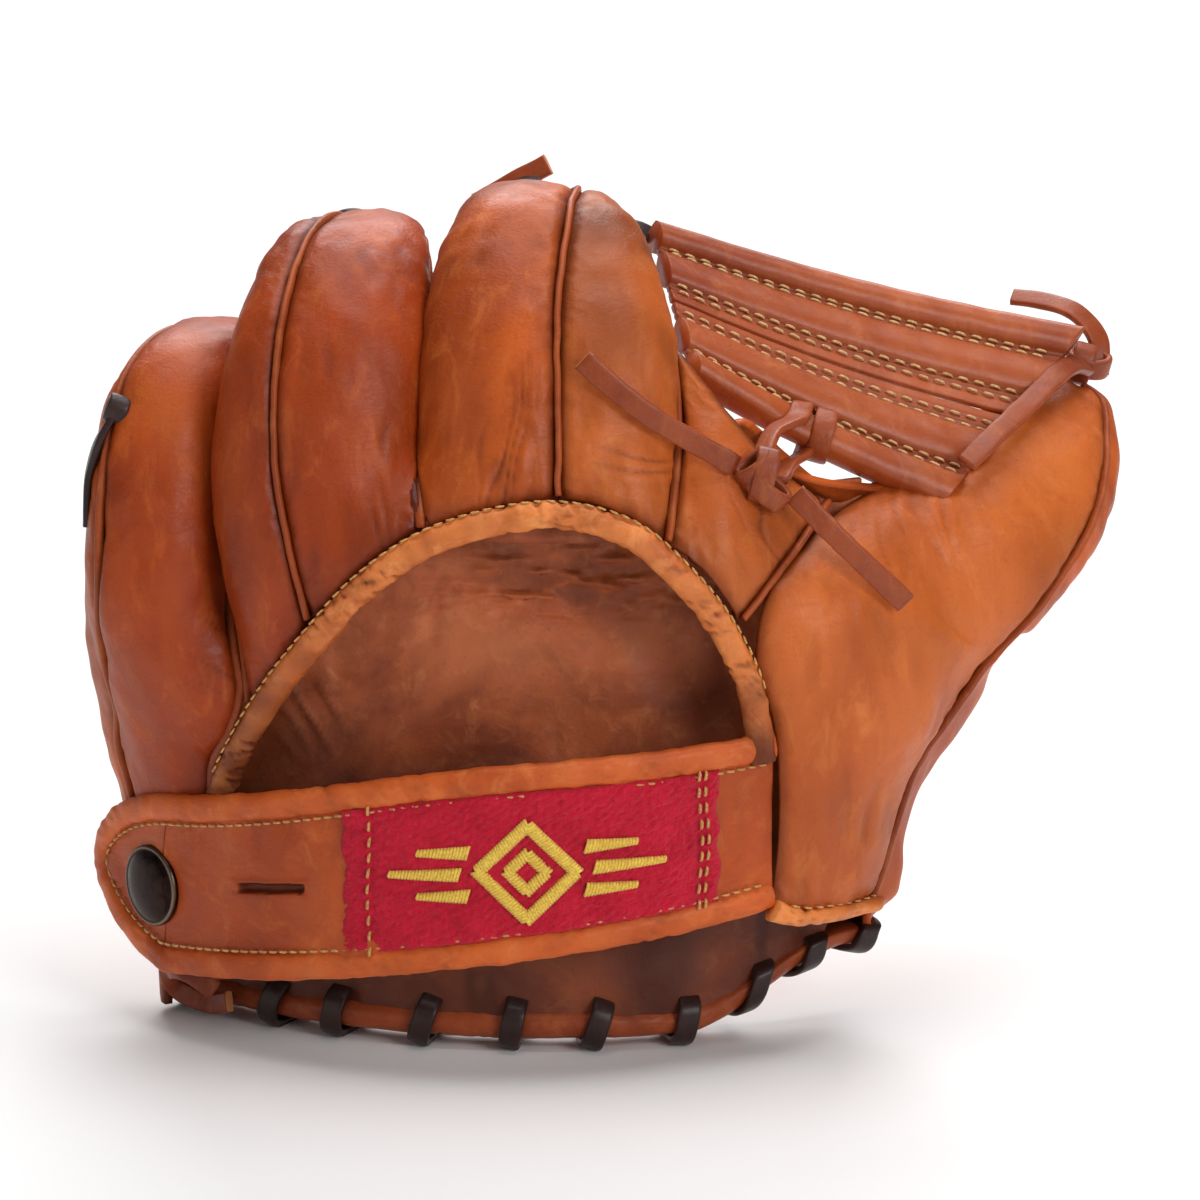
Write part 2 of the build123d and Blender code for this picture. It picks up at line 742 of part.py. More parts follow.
with BuildPart() as strap_binding:
    add(strap_layer(lining_inner - LAYER_GAP - FLANGE, STRAP_OUTER + LAYER_GAP + FLANGE))
    add(
        strap_layer(SIDE_OUTER, STRAP_OUTER + CAP_HEIGHT, STRAP_EDGE, STRAP_EDGE + 1),
        mode=Mode.SUBTRACT,
    )
    add(
        strap_layer(lining_inner - LAYER_GAP, STRAP_OUTER + LAYER_GAP, 1 - LAYER_GAP, 2),
        mode=Mode.SUBTRACT,
    )
save(strap_binding.part, "strap_binding")

label_face = STRAP_OUTER + LAYER_GAP / 2
with BuildPart() as strap_label:
    add(strap_layer(label_face, label_face + LABEL_THICKNESS, STRAP_EDGE + LAYER_GAP))
    with BuildSketch(Plane.XZ.offset(-REACH / 2)):
        with Locations(((LABEL_X[0] + LABEL_X[1]) / 2, REACH / 2)):
            Rectangle(LABEL_X[1] - LABEL_X[0], REACH)
    extrude(amount=REACH, mode=Mode.INTERSECT)
save(strap_label.part, "strap_label")

emblem_face = label_face + LABEL_THICKNESS + LAYER_GAP / 2
with BuildPart() as label_emblem:
    with BuildSketch():
        with Locations(STRAP_CENTRE):
            Circle(emblem_face + EMBLEM_THICKNESS)
            Circle(emblem_face, mode=Mode.SUBTRACT)
    extrude(amount=REACH)
    with BuildSketch(Plane.XZ):
        with Locations(EMBLEM_CENTRE):
            Rectangle(EMBLEM_SIZE, EMBLEM_SIZE, rotation=45)
            Rectangle(EMBLEM_HOLE, EMBLEM_HOLE, rotation=45, mode=Mode.SUBTRACT)
    extrude(amount=REACH, mode=Mode.INTERSECT)
save(label_emblem.part, "label_emblem")


# ------------------------------------------------------------ web


def web_panel(top_share, bottom_share):
    """Folded web panel between two shares of the web's height, from its top edge down."""

    def end_points(top, bottom, drop):
        edge = Vector(*bottom) - Vector(*top)
        start = Vector(*top) + edge * top_share - Vector(0, 0, drop)
        end = Vector(*top) + edge * bottom_share - Vector(0, 0, drop)
        return start, end

    middle_top = (Vector(*WEB_INDEX_TOP) + Vector(*WEB_THUMB_TOP)) / 2
    middle_bottom = (Vector(*WEB_INDEX_BOTTOM) + Vector(*WEB_THUMB_BOTTOM)) / 2
    edges = [
        end_points(WEB_INDEX_TOP, WEB_INDEX_BOTTOM, 0),
        end_points(middle_top, middle_bottom, WEB_SAG),
        end_points(WEB_THUMB_TOP, WEB_THUMB_BOTTOM, 0),
    ]
    run = (edges[2][0] + edges[2][1] - edges[0][0] - edges[0][1]).normalized()
    with BuildPart() as web:
        for start, end in edges:
            across = end - start
            normal = run - across * (run.dot(across) / across.dot(across))
            with BuildSketch(Plane(origin=(start + end) / 2, x_dir=across, z_dir=normal)):
                RectangleRounded(across.length, WEB_THICKNESS, WEB_EDGE_ROUNDING)
        loft()
    return web.part


save(web_panel(0, WEB_SPLIT[0]), "web_upper_panel")
save(web_panel(WEB_SPLIT[1], 1), "web_lower_panel")


# ------------------------------------------------------------ laces


def knot(position, size):
    """Pulled-tight knot, as a block with rounded edges."""
    with BuildPart() as tied:
        with BuildSketch(Plane(origin=position)):
            RectangleRounded(size[0], size[1], min(size[:2]) / 3)
        extrude(amount=size[2] / 2, both=True)
    return tied.part


def knot_with_tail(position, size, tail):
    """Knot with a short stiff tail."""
    with BuildPart() as tied:
        add(knot(position, size))
        add(lace(tail, (0, -1, 0)))
    return tied.part


save(lace(FINGER_TIP_LACE, (0, -1, 0)), "finger_tip_lace")
save(lace(INDEX_TIP_LACE, (0, -1, 0)), "index_tip_lace")
save(lace(WEB_INDEX_LACE, (0, 0, 1)), "web_index_lace")
save(knot_with_tail(PINKY_KNOT, PINKY_KNOT_SIZE, PINKY_TAIL), "pinky_lace")
save(knot_with_tail(THUMB_KNOT, THUMB_KNOT_SIZE, THUMB_TAIL), "thumb_tip_lace")
save(knot(WEB_KNOT, WEB_KNOT_SIZE), "web_base_knot")

for name, route in (("web_tail_upper", WEB_TAIL_UPPER), ("web_tail_lower", WEB_TAIL_LOWER)):
    radii = bend_radii(route)
    print(name, "bend radii:", *[round(radius) for radius in radii])
    save(lace(route, (0, -1, 0), radii), name)
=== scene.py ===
"""Vintage left-hand baseball glove, standing on its heel with its back to the camera.

+X points to the thumb side, +Y to the pocket side and +Z to the finger tips. Shapes are
worked out in millimetres, the CAD model's unit, and become metres where meshes are made.
"""

from math import atan2, cos, hypot, pi, radians, sin

import bpy
import numpy as np
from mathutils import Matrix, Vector
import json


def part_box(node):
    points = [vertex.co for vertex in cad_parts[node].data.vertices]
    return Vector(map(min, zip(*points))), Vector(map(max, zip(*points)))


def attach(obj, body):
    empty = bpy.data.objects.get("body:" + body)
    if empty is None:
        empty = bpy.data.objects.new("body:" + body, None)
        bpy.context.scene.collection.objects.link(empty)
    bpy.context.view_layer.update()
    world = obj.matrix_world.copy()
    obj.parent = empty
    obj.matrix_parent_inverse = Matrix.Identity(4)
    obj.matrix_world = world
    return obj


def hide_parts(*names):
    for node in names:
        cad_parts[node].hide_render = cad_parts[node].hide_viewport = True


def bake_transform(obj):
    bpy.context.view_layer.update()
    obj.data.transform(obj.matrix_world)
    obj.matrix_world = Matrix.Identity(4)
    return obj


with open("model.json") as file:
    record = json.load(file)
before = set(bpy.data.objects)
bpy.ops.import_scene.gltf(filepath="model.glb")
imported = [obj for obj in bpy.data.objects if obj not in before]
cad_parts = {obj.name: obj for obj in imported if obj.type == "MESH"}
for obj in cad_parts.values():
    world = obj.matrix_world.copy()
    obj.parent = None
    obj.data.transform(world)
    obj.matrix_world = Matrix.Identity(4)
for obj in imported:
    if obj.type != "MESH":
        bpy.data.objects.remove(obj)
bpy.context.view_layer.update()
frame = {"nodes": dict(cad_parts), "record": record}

MM = 0.001
BACK = (0, -1, 0.25)
FRONT = (0, 1, -0.1)

# Leather, lace and strap, as in the CAD model
LINING = 1.4
SHELL_END = 14.7
LACE_WIDTH = 6.5
LACE_THICKNESS = 2.4
STRAP_CENTRE = (-21.0, 95.0)
STRAP_OUTER = 138.2

# Stations of a stall: position, lean in degrees (not for the thumb), half width, back depth, front depth
PINKY = [
    ((-128.5, 12, 142), 0, 20.5, 23, 23),
    ((-127.5, 17, 168), 15, 19.8, 20, 18),
    ((-122, 30, 188), 40, 19, 17, 15),
    ((-113.5, 49, 196), 65, 15.5, 9, 11),
    ((-108.5, 66, 194), 82, 10, 4, 5),
]
MIDDLE = [
    ((-79.5, -2, 142), 0, 28.5, 24, 26),
    ((-81, 2, 176), 12, 30.2, 22, 20),
    ((-77.5, 14, 209), 35, 27.8, 19, 16),
    ((-72, 36, 226), 65, 22.5, 12, 12),
    ((-69, 57, 228), 85, 13.5, 5, 5),
]
INDEX = [
    ((-13.2, -4, 142), 0, 37.2, 25, 23),
    ((-14, 0, 178), 10, 38.8, 24, 20),
    ((-15.5, 12, 212), 30, 35.5, 20, 17),
    ((-16, 34, 233), 62, 27, 13, 12),
    ((-17, 55, 237), 84, 16, 5, 5),
]
THUMB = [
    ((90, 25, 129), 33.5, 22, 18),
    ((112.5, 37, 136.5), 25.5, 19, 15),
    ((124.5, 51, 150), 25.5, 15, 13),
    ((132, 67, 165), 20.5, 10, 9),
    ((134.5, 79, 174), 14.5, 4.5, 4.5),
]

# The back opening's edge, from the pinky side over the top to the thumb side
OPENING = [
    (-112.5, 0, 81),
    (-101, -11, 105),
    (-85, -23, 130),
    (-60, -27, 156),
    (-31, -28, 168),
    (2, -28, 168),
    (28, -27, 148),
    (45, -24, 120),
    (50, -23, 103.5),
]

# The palm lining's hand-side face: height, and the arc's left, middle and right points
PALM_ARCS = [
    (0, (-119, 30), (-22, -14), (76, 16)),
    (40, (-131, 34), (-25, -10), (84, 14)),
    (80, (-141, 34), (-25, -2), (92, 18)),
    (120, (-146, 30), (-25, 4), (96, 24)),
    (142.5, (-148, 26), (-25, 6), (92, 24)),
]


# ------------------------------------------------------------ lines and surfaces


def curve_at(knots, values, places):
    """Smooth curve through values at knots, read at the given places."""
    knots, values, places = (np.asarray(a, float) for a in (knots, values, places))
    shape = (-1,) + (1,) * (values.ndim - 1)
    steps = np.diff(knots).reshape(shape)
    slopes = np.diff(values, axis=0) / steps
    tangents = np.empty_like(values)
    tangents[0], tangents[-1] = slopes[0], slopes[-1]
    mean = slopes[:-1] * steps[1:] + slopes[1:] * steps[:-1]
    tangents[1:-1] = mean / (steps[1:] + steps[:-1])
    i = np.clip(np.searchsorted(knots, places, side="right") - 1, 0, len(knots) - 2)
    width = (knots[i + 1] - knots[i]).reshape(shape)
    t = ((places - knots[i]) / (knots[i + 1] - knots[i])).reshape(shape)
    return (
        values[i] * (2 * t**3 - 3 * t**2 + 1)
        + tangents[i] * (t**3 - 2 * t**2 + t) * width
        + values[i + 1] * (3 * t**2 - 2 * t**3)
        + tangents[i + 1] * (t**3 - t**2) * width
    )


def lengths(points):
    """Distance along a line at each of its points."""
    steps = np.linalg.norm(np.diff(points, axis=0), axis=1)
    return np.concatenate([[0], np.cumsum(steps)])


def line(points, count):
    """Smooth line through points, with evenly spaced samples."""
    points = np.asarray(points, float)
    dense = curve_at(lengths(points), points, np.linspace(0, lengths(points)[-1], 12 * len(points)))
    return even(dense, count)


def even(points, count):
    """The same line with evenly spaced samples."""
    at = lengths(points)
    places = np.linspace(0, at[-1], count)
    return np.stack([np.interp(places, at, points[:, i]) for i in range(3)], axis=1)


def loft(rows, rings, columns):
    """Smooth surface through rows of points: rings of columns."""
    rows = np.stack([line(row, columns) for row in rows])
    steps = np.linalg.norm(np.diff(rows, axis=0), axis=2).mean(axis=1)
    knots = np.concatenate([[0], np.cumsum(steps)])
    return curve_at(knots, rows, np.linspace(0, knots[-1], rings))


def normals(grid, outward):
    """Unit normal at each point of a surface, on the side that faces outward."""
    across = np.cross(np.gradient(grid, axis=1), np.gradient(grid, axis=0))
    size = np.linalg.norm(across, axis=2, keepdims=True)
    across = across / np.maximum(size, 1e-9)
    return across * np.sign((across @ np.asarray(outward, float)).mean())


def waves(points, size, seed, count=14):
    """Smooth noise of about that feature size, mostly from -1 to 1."""
    draw = np.random.default_rng(seed)
    ways = draw.normal(size=(count, 3))
    ways /= np.linalg.norm(ways, axis=1, keepdims=True)
    ways *= draw.uniform(0.7, 1.4, (count, 1)) * 2 * pi / size
    phases = draw.uniform(0, 2 * pi, count)
    return np.sin(points @ ways.T + phases).sum(axis=-1) / np.sqrt(count)


def near(points, centre, size):
    """1 at a centre, falling smoothly and almost gone at that distance, per axis."""
    apart = (points - np.asarray(centre, float)) / np.asarray(size, float)
    return np.exp(-2 * (apart**2).sum(axis=-1))


def powered(values, power):
    """Values raised to a power, each with its own sign kept."""
    return np.sign(values) * np.abs(values) ** power


def edge_distances(grid):
    """Distance of each point from the first and last ring and the first and last column."""
    ring_steps = np.linalg.norm(np.diff(grid, axis=0), axis=2)
    column_steps = np.linalg.norm(np.diff(grid, axis=1), axis=2)
    rings = np.pad(np.cumsum(ring_steps, axis=0), ((1, 0), (0, 0)))
    columns = np.pad(np.cumsum(column_steps, axis=1), ((0, 0), (1, 0)))
    return rings, rings[-1:] - rings, columns, columns[:, -1:] - columns


# ------------------------------------------------------------ meshes

# The heel's thumb-side corner is lifted by this much, in full from RISE_FULL_X on and below RISE_FULL_Z
HEEL_RISE = 21.0
RISE_START_X, RISE_FULL_X = 22, 72
RISE_START_Z, RISE_FULL_Z = 52, 8


def heel_risen(points):
    """The same points, with the heel's thumb-side corner lifted towards the root of the strap."""
    points = np.array(points, float)
    side = np.clip((points[:, 0] - RISE_START_X) / (RISE_FULL_X - RISE_START_X), 0, 1)
    low = np.clip((RISE_START_Z - points[:, 2]) / (RISE_START_Z - RISE_FULL_Z), 0, 1)
    points[:, 2] += HEEL_RISE * side**2 * (3 - 2 * side) * low**1.5
    return points


def mesh_piece(name, points, faces, material, shade=None):
    """Smooth mesh object from millimetre points, with the heel lifted and a shade value at each."""
    mesh = bpy.data.meshes.new(name)
    mesh.from_pydata([tuple(point) for point in heel_risen(points) * MM], [], faces)
    mesh.polygons.foreach_set("use_smooth", [True] * len(mesh.polygons))
    mesh.materials.append(material)
    if shade is not None:
        stored = mesh.attributes.new("shade", "FLOAT", "POINT")
        stored.data.foreach_set("value", np.asarray(shade, float).ravel())
    made = bpy.data.objects.new(name, mesh)
    bpy.context.scene.collection.objects.link(made)
    return made


def quads(rings, columns, start=0, wrap=False, flip=False):
    """Faces of a grid of points, as index quads."""
    index = start + np.arange(rings * columns).reshape(rings, columns)
    if wrap:
        index = np.concatenate([index, index[:, :1]], axis=1)
    a, b, c, d = index[:-1, :-1], index[:-1, 1:], index[1:, 1:], index[1:, :-1]
    order = (a, d, c, b) if flip else (a, b, c, d)
    return np.stack(order, axis=-1).reshape(-1, 4).tolist()


def shell(front, rear, out=None):
    """Points and faces of a closed shell: a front grid, the grid behind it and the rim between."""
    rings, columns = front.shape[:2]
    size = rings * columns
    turn = np.cross(front[0, 1] - front[0, 0], front[1, 0] - front[0, 0])
    flip = out is not None and turn @ out[0, 0] < 0
    faces = quads(rings, columns, 0, flip=flip) + quads(rings, columns, size, flip=not flip)
    index = np.arange(size).reshape(rings, columns)
    border = np.concatenate([index[0], index[1:, -1], index[-1, -2::-1], index[-2:0:-1, 0]])
    for a, b in zip(border, np.roll(border, -1)):
        rim = [int(b), int(a), int(a) + size, int(b) + size]
        faces.append(rim[::-1] if flip else rim)
    return np.concatenate([front.reshape(-1, 3), rear.reshape(-1, 3)]), faces


def sheet(name, grid, material, thickness, outward, shade=None):
    """Closed sheet from its outer surface and its thickness."""
    out = normals(grid, outward)
    if shade is None:
        shade = np.zeros(grid.shape[:2])
    points, faces = shell(grid, grid - out * thickness, out)
    # The inner face is painted 0.4 darker than the outer one: painted shade inside the glove.
    return mesh_piece(name, points, faces, material, np.concatenate([shade.ravel(), shade.ravel() - 0.4]))


def frames(path, facing):
    """Tangent, side and up vectors along a path whose flat face looks towards facing."""
    tangent = np.gradient(path, axis=0)
    tangent /= np.linalg.norm(tangent, axis=1, keepdims=True)
    up = np.broadcast_to(np.asarray(facing, float), path.shape)
    up = up - tangent * (up * tangent).sum(axis=1, keepdims=True)
    up = up / np.linalg.norm(up, axis=1, keepdims=True)
    return tangent, np.cross(tangent, up), up


def band_data(path, facing, width, height, closed=False, squareness=1.0, columns=12):
    """Points and faces of a band with an oval or squarish section along a path."""
    path = np.asarray(path, float)
    _, side, up = frames(path, facing)
    angles = np.linspace(0, 2 * pi, columns, endpoint=False) + pi / columns
    across = powered(np.cos(angles), squareness)
    rise = powered(np.sin(angles), squareness)
    width, height = (np.broadcast_to(v, len(path))[:, None, None] / 2 for v in (width, height))
    points = (
        path[:, None]
        + side[:, None] * across[None, :, None] * width
        + up[:, None] * rise[None, :, None] * height
    )
    faces = quads(len(path), columns, wrap=True)
    last = (len(path) - 1) * columns
    if closed:
        faces += [[last + j, last + (j + 1) % columns, (j + 1) % columns, j] for j in range(columns)]
    else:
        faces.append(list(range(columns))[::-1])
        faces.append([last + j for j in range(columns)])
    return points.reshape(-1, 3), faces


def joined(parts):
    """Several lots of points and faces as one."""
    points, faces, start = [], [], 0
    for some_points, some_faces in parts:
        points.append(some_points)
        faces += [[start + corner for corner in face] for face in some_faces]
        start += len(some_points)
    return np.concatenate(points), faces


def stitch_data(path, facing, pitch=4.2, length=3.0, thickness=0.9, slant=0.35):
    """Points and faces of a row of stitches, each bedded in the leather at its ends."""
    count = max(2, int(lengths(path)[-1] / pitch))
    middles = even(path, count)
    facing = np.broadcast_to(np.asarray(facing, float), path.shape)
    at, places = lengths(path), np.linspace(0, lengths(path)[-1], count)
    facing = np.stack([np.interp(places, at, facing[:, i]) for i in range(3)], axis=1)
    tangent, side, up = frames(middles, facing)
    share = np.linspace(-1, 1, 7)
    parts = []
    for middle, t, s, u in zip(middles, tangent, side, up):
        way = t + s * slant * thickness / length
        thread = middle + np.outer(share * length / 2, way) + np.outer(0.45 - 0.8 * share**4, u)
        full = thickness * np.sqrt(np.maximum(1 - share**6, 0.08))
        parts.append(band_data(thread, u, full, full, columns=6))
    return joined(parts)


def stitches(name, rows, material, **options):
    """One object with rows of stitches, each a path and the way it faces."""
    points, faces = joined([stitch_data(path, facing, **options) for path, facing in rows])
    return mesh_piece(name, points, faces, material)


def placed(piece, body, slot, *nodes):
    """Ride a finished piece on a body, in place of its CAD nodes; its slot is not used."""
    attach(piece, body)
    if nodes:
        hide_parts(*nodes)
    return piece


# ------------------------------------------------------------ materials


def node(tree, kind, inputs=None, **settings):
    """New shader node with its settings, values and links."""
    made = tree.nodes.new(kind)
    for key, value in settings.items():
        setattr(made, key, value)
    for key, value in (inputs or {}).items():
        if isinstance(value, bpy.types.NodeSocket):
            tree.links.new(value, made.inputs[key])
        else:
            made.inputs[key].default_value = value
    return made


def mixed(tree, share, first, second):
    """Colour between two, by a share."""
    inputs = {0: share, 6: first, 7: second}
    return node(tree, "ShaderNodeMix", inputs, data_type="RGBA").outputs[2]


def ranged(tree, value, low, high, to_low, to_high):
    """A value moved from one range to another, and kept inside it."""
    inputs = {0: value, 1: low, 2: high, 3: to_low, 4: to_high}
    return node(tree, "ShaderNodeMapRange", inputs).outputs[0]


def noise(tree, place, scale, detail=4.0, roughness=0.55, distortion=0.0):
    """Noise value at a place."""
    inputs = {
        "Vector": place, "Scale": scale, "Detail": detail,
        "Roughness": roughness, "Distortion": distortion,
    }
    return node(tree, "ShaderNodeTexNoise", inputs).outputs[0]


def bump(tree, height, distance, strength=1.0, under=None):
    """Normal with a bump of that height in metres, over another bump."""
    inputs = {"Height": height, "Distance": distance, "Strength": strength}
    if under is not None:
        inputs["Normal"] = under
    return node(tree, "ShaderNodeBump", inputs).outputs[0]


def colour(red, green, blue):
    """Opaque colour."""
    return (red, green, blue, 1.0)


def start_material(name):
    """New material: its tree, its shader and the object's own coordinates."""
    made = bpy.data.materials.new(name)
    made.use_nodes = True
    tree = made.node_tree
    place = node(tree, "ShaderNodeTexCoord").outputs["Object"]
    return made, tree, tree.nodes["Principled BSDF"], place


def stretched(tree, place, x, y, z):
    """Coordinates scaled per axis, so that a pattern lies in streaks."""
    return node(tree, "ShaderNodeMapping", {"Vector": place, "Scale": (x, y, z)}).outputs[0]


def leather(
    name, base, deep, pale, roughness=(0.36, 0.52), grain=0.00010, crease=0.0004, coat=0.08, along=0.35
):
    """Oiled leather: stains, long scuffs, worn places, pores, fine wrinkles, a waxy gloss, and painted shade
    and highlights from each point's shade value.
    """
    made, tree, shader, place = start_material(name)
    lengthwise = stretched(tree, place, 1, 1, along)
    crosswise = stretched(tree, place, 0.5, 0.5, 1.5)
    blotch = noise(tree, lengthwise, 22, 4, 0.55, 0.8)
    scuff = noise(tree, lengthwise, 130, 7, 0.66, 0.6)
    mottle = noise(tree, place, 75, 6, 0.62, 0.4)
    speck = noise(tree, place, 700, 3, 0.6)
    fine = noise(tree, crosswise, 330, 6, 0.6, 0.8)
    shade = node(tree, "ShaderNodeAttribute", attribute_name="shade").outputs["Fac"]
    tone = mixed(tree, ranged(tree, blotch, 0.42, 0.66, 0, 0.75), colour(*base), colour(*deep))
    tone = mixed(tree, ranged(tree, scuff, 0.52, 0.76, 0, 0.65), tone, colour(*pale))
    tone = mixed(tree, ranged(tree, mottle, 0.46, 0.28, 0, 0.45), tone, colour(*deep))
    # Painted shade: negative shade values darken towards a deep brown in creases, seams, valleys and hollows.
    # Positive values paint highlights, and paler patches of random tone.
    tone = mixed(tree, ranged(tree, shade, 0, -1, 0, 0.92), tone, colour(*[c * 0.30 for c in deep]))
    tone = mixed(tree, ranged(tree, shade, 0, 1, 0, 0.85), tone, colour(*pale))
    tone = mixed(tree, ranged(tree, speck, 0.60, 0.75, 0, 0.25), tone, colour(*[c * 0.45 for c in deep]))
    tree.links.new(tone, shader.inputs["Base Color"])
    tree.links.new(ranged(tree, scuff, 0.3, 0.7, *roughness), shader.inputs["Roughness"])
    pores = node(tree, "ShaderNodeTexVoronoi", {"Vector": place, "Scale": 900.0}).outputs[0]
    rough = bump(tree, pores, grain, 0.6)
    lines = node(tree, "ShaderNodeMath", {0: fine, 1: 0.5}, operation="SUBTRACT").outputs[0]
    lines = node(tree, "ShaderNodeMath", {0: lines}, operation="ABSOLUTE").outputs[0]
    lines = ranged(tree, lines, 0, 0.05, 0, 1)
    rough = bump(tree, lines, grain * 0.8, 0.5, rough)
    rough = bump(tree, scuff, crease, 0.7, rough)
    tree.links.new(rough, shader.inputs["Normal"])
    shader.inputs["Specular IOR Level"].default_value = 0.22
    shader.inputs["Coat Weight"].default_value = coat
    shader.inputs["Coat Roughness"].default_value = 0.30
    return made


def felt(name, base, deep, pale):
    """Matted wool felt with tufts and a soft sheen."""
    made, tree, shader, place = start_material(name)
    tufts = noise(tree, place, 420, 8, 0.7, 2.5)
    clouds = noise(tree, place, 60, 4, 0.6, 0.8)
    tone = mixed(tree, ranged(tree, clouds, 0.35, 0.65, 0, 0.7), colour(*base), colour(*deep))
    tone = mixed(tree, ranged(tree, tufts, 0.5, 0.75, 0, 0.6), tone, colour(*pale))
    tone = mixed(tree, ranged(tree, tufts, 0.45, 0.3, 0, 0.6), tone, colour(*deep))
    tree.links.new(tone, shader.inputs["Base Color"])
    tree.links.new(ranged(tree, tufts, 0.3, 0.7, 0.8, 0.98), shader.inputs["Roughness"])
    tree.links.new(bump(tree, tufts, 0.0009, 0.9), shader.inputs["Normal"])
    shader.inputs["Sheen Weight"].default_value = 0.1
    shader.inputs["Sheen Roughness"].default_value = 0.5
    shader.inputs["Specular IOR Level"].default_value = 0.2
    return made


def thread(name, base, deep):
    """Twisted waxed thread."""
    made, tree, shader, place = start_material(name)
    ply = noise(tree, place, 1500, 2, 0.5, 0.5)
    wear = noise(tree, place, 120, 4, 0.6)
    tone = mixed(tree, ranged(tree, ply, 0.4, 0.62, 0, 0.8), colour(*base), colour(*deep))
    tone = mixed(tree, ranged(tree, wear, 0.55, 0.75, 0, 0.45), tone, colour(*deep))
    tree.links.new(tone, shader.inputs["Base Color"])
    tree.links.new(ranged(tree, ply, 0.3, 0.7, 0.45, 0.7), shader.inputs["Roughness"])
    tree.links.new(bump(tree, ply, 0.00025, 0.8), shader.inputs["Normal"])
    shader.inputs["Sheen Weight"].default_value = 0.2
    return made


def bronze(name):
    """Darkened bronze with a mottled patina."""
    made, tree, shader, place = start_material(name)
    patina = noise(tree, place, 240, 6, 0.65, 0.6)
    shade = node(tree, "ShaderNodeAttribute", attribute_name="shade").outputs["Fac"]
    dark, brown = colour(0.014, 0.007, 0.006), colour(0.032, 0.016, 0.011)
    tone = mixed(tree, ranged(tree, patina, 0.4, 0.65, 0, 1), dark, brown)
    # Painted highlight: positive shade values brighten the bronze towards a pale brown, along the snap cap's
    # rim.
    tone = mixed(tree, ranged(tree, shade, 0, 1, 0, 1), tone, colour(0.20, 0.14, 0.10))
    tree.links.new(tone, shader.inputs["Base Color"])
    tree.links.new(ranged(tree, patina, 0.3, 0.7, 0.24, 0.42), shader.inputs["Roughness"])
    tree.links.new(bump(tree, patina, 0.00008, 0.6), shader.inputs["Normal"])
    shader.inputs["Metallic"].default_value = 1.0
    return made


# Three copies of one tan leather: darker for the pinky and middle finger, paler for the index's inner half,
# the thumb and the gusset. Partly the leather's own tone, partly painted shade and light, darker away from
# the key light on the thumb side.
TAN_DARK = leather("tan_leather_dark", (0.40, 0.056, 0.006), (0.24, 0.026, 0.003), (0.56, 0.125, 0.018))
TAN = leather("tan_leather", (0.54, 0.098, 0.012), (0.28, 0.036, 0.004), (0.66, 0.175, 0.032))
TAN_THUMB = leather("tan_leather_thumb", (0.58, 0.130, 0.022), (0.40, 0.068, 0.009), (0.70, 0.205, 0.046))
ROLLED = leather("rolled_leather", (0.82, 0.25, 0.060), (0.36, 0.058, 0.011), (0.94, 0.40, 0.135), along=1)
DARK_ROLL = leather(
    "dark_rolled_leather", (0.34, 0.062, 0.015), (0.18, 0.026, 0.007), (0.46, 0.120, 0.036),
    along=1,
)
WELTING = leather("welting_leather", (0.38, 0.070, 0.013), (0.18, 0.026, 0.005), (0.52, 0.150, 0.035))
STRAP_TAN = leather(
    "strap_leather", (0.48, 0.076, 0.010), (0.30, 0.036, 0.005), (0.62, 0.150, 0.030),
    along=1,
)
STRAP_ROLL = leather(
    "strap_rolled_leather", (0.64, 0.120, 0.020), (0.42, 0.062, 0.010), (0.76, 0.220, 0.055),
    along=1,
)
# The lining's deep colour is very dark: besides its stains, it paints the shadow under the strap and the
# shade inside the stalls.
HAND_LINING = leather(
    "lining_leather", (0.56, 0.132, 0.044), (0.16, 0.026, 0.011), (0.74, 0.250, 0.095),
    roughness=(0.36, 0.52), grain=0.00008, crease=0.0006, coat=0.1, along=1,
)
DARK_LACE = leather(
    "dark_lace", (0.030, 0.012, 0.010), (0.014, 0.006, 0.005), (0.070, 0.026, 0.016),
    roughness=(0.34, 0.5), grain=0.00008, coat=0.2,
)
RED_LACE = leather(
    "red_lace", (0.31, 0.058, 0.014), (0.16, 0.022, 0.006), (0.46, 0.130, 0.042),
    roughness=(0.36, 0.5), grain=0.00008, coat=0.2,
)
WEB_LEATHER = leather(
    "web_leather", (0.40, 0.082, 0.018), (0.24, 0.036, 0.009), (0.56, 0.180, 0.066),
    roughness=(0.32, 0.48), grain=0.00006, crease=0.0002, coat=0.25,
)
RAW_EDGE = leather("raw_edge", (0.62, 0.26, 0.10), (0.40, 0.13, 0.045), (0.75, 0.42, 0.22), coat=0.0)
CRIMSON = felt("crimson_felt", (0.66, 0.010, 0.038), (0.46, 0.004, 0.022), (0.72, 0.036, 0.070))
PADDING = felt("felt_padding", (0.60, 0.55, 0.42), (0.45, 0.40, 0.30), (0.72, 0.68, 0.58))
GOLD_THREAD = thread("gold_thread", (0.66, 0.36, 0.09), (0.40, 0.17, 0.035))
TAN_THREAD = thread("tan_thread", (0.74, 0.44, 0.19), (0.46, 0.22, 0.08))
YELLOW_SILK = thread("yellow_silk", (0.88, 0.62, 0.08), (0.66, 0.36, 0.03))
BRONZE = bronze("snap_bronze")


# ------------------------------------------------------------ camera, light and floor

ELEVATION = radians(16)
CAMERA_DISTANCE = 5.0
LENS = 517.5
AIM = Vector((0, 0.015, 0.1283))

camera = bpy.data.objects.new("camera", bpy.data.cameras.new("camera"))
camera.data.lens = LENS
camera.location = AIM + CAMERA_DISTANCE * Vector((0, -cos(ELEVATION), sin(ELEVATION)))
camera.rotation_euler = (pi / 2 - ELEVATION, 0, 0)
bpy.context.scene.collection.objects.link(camera)
bpy.context.scene.camera = camera


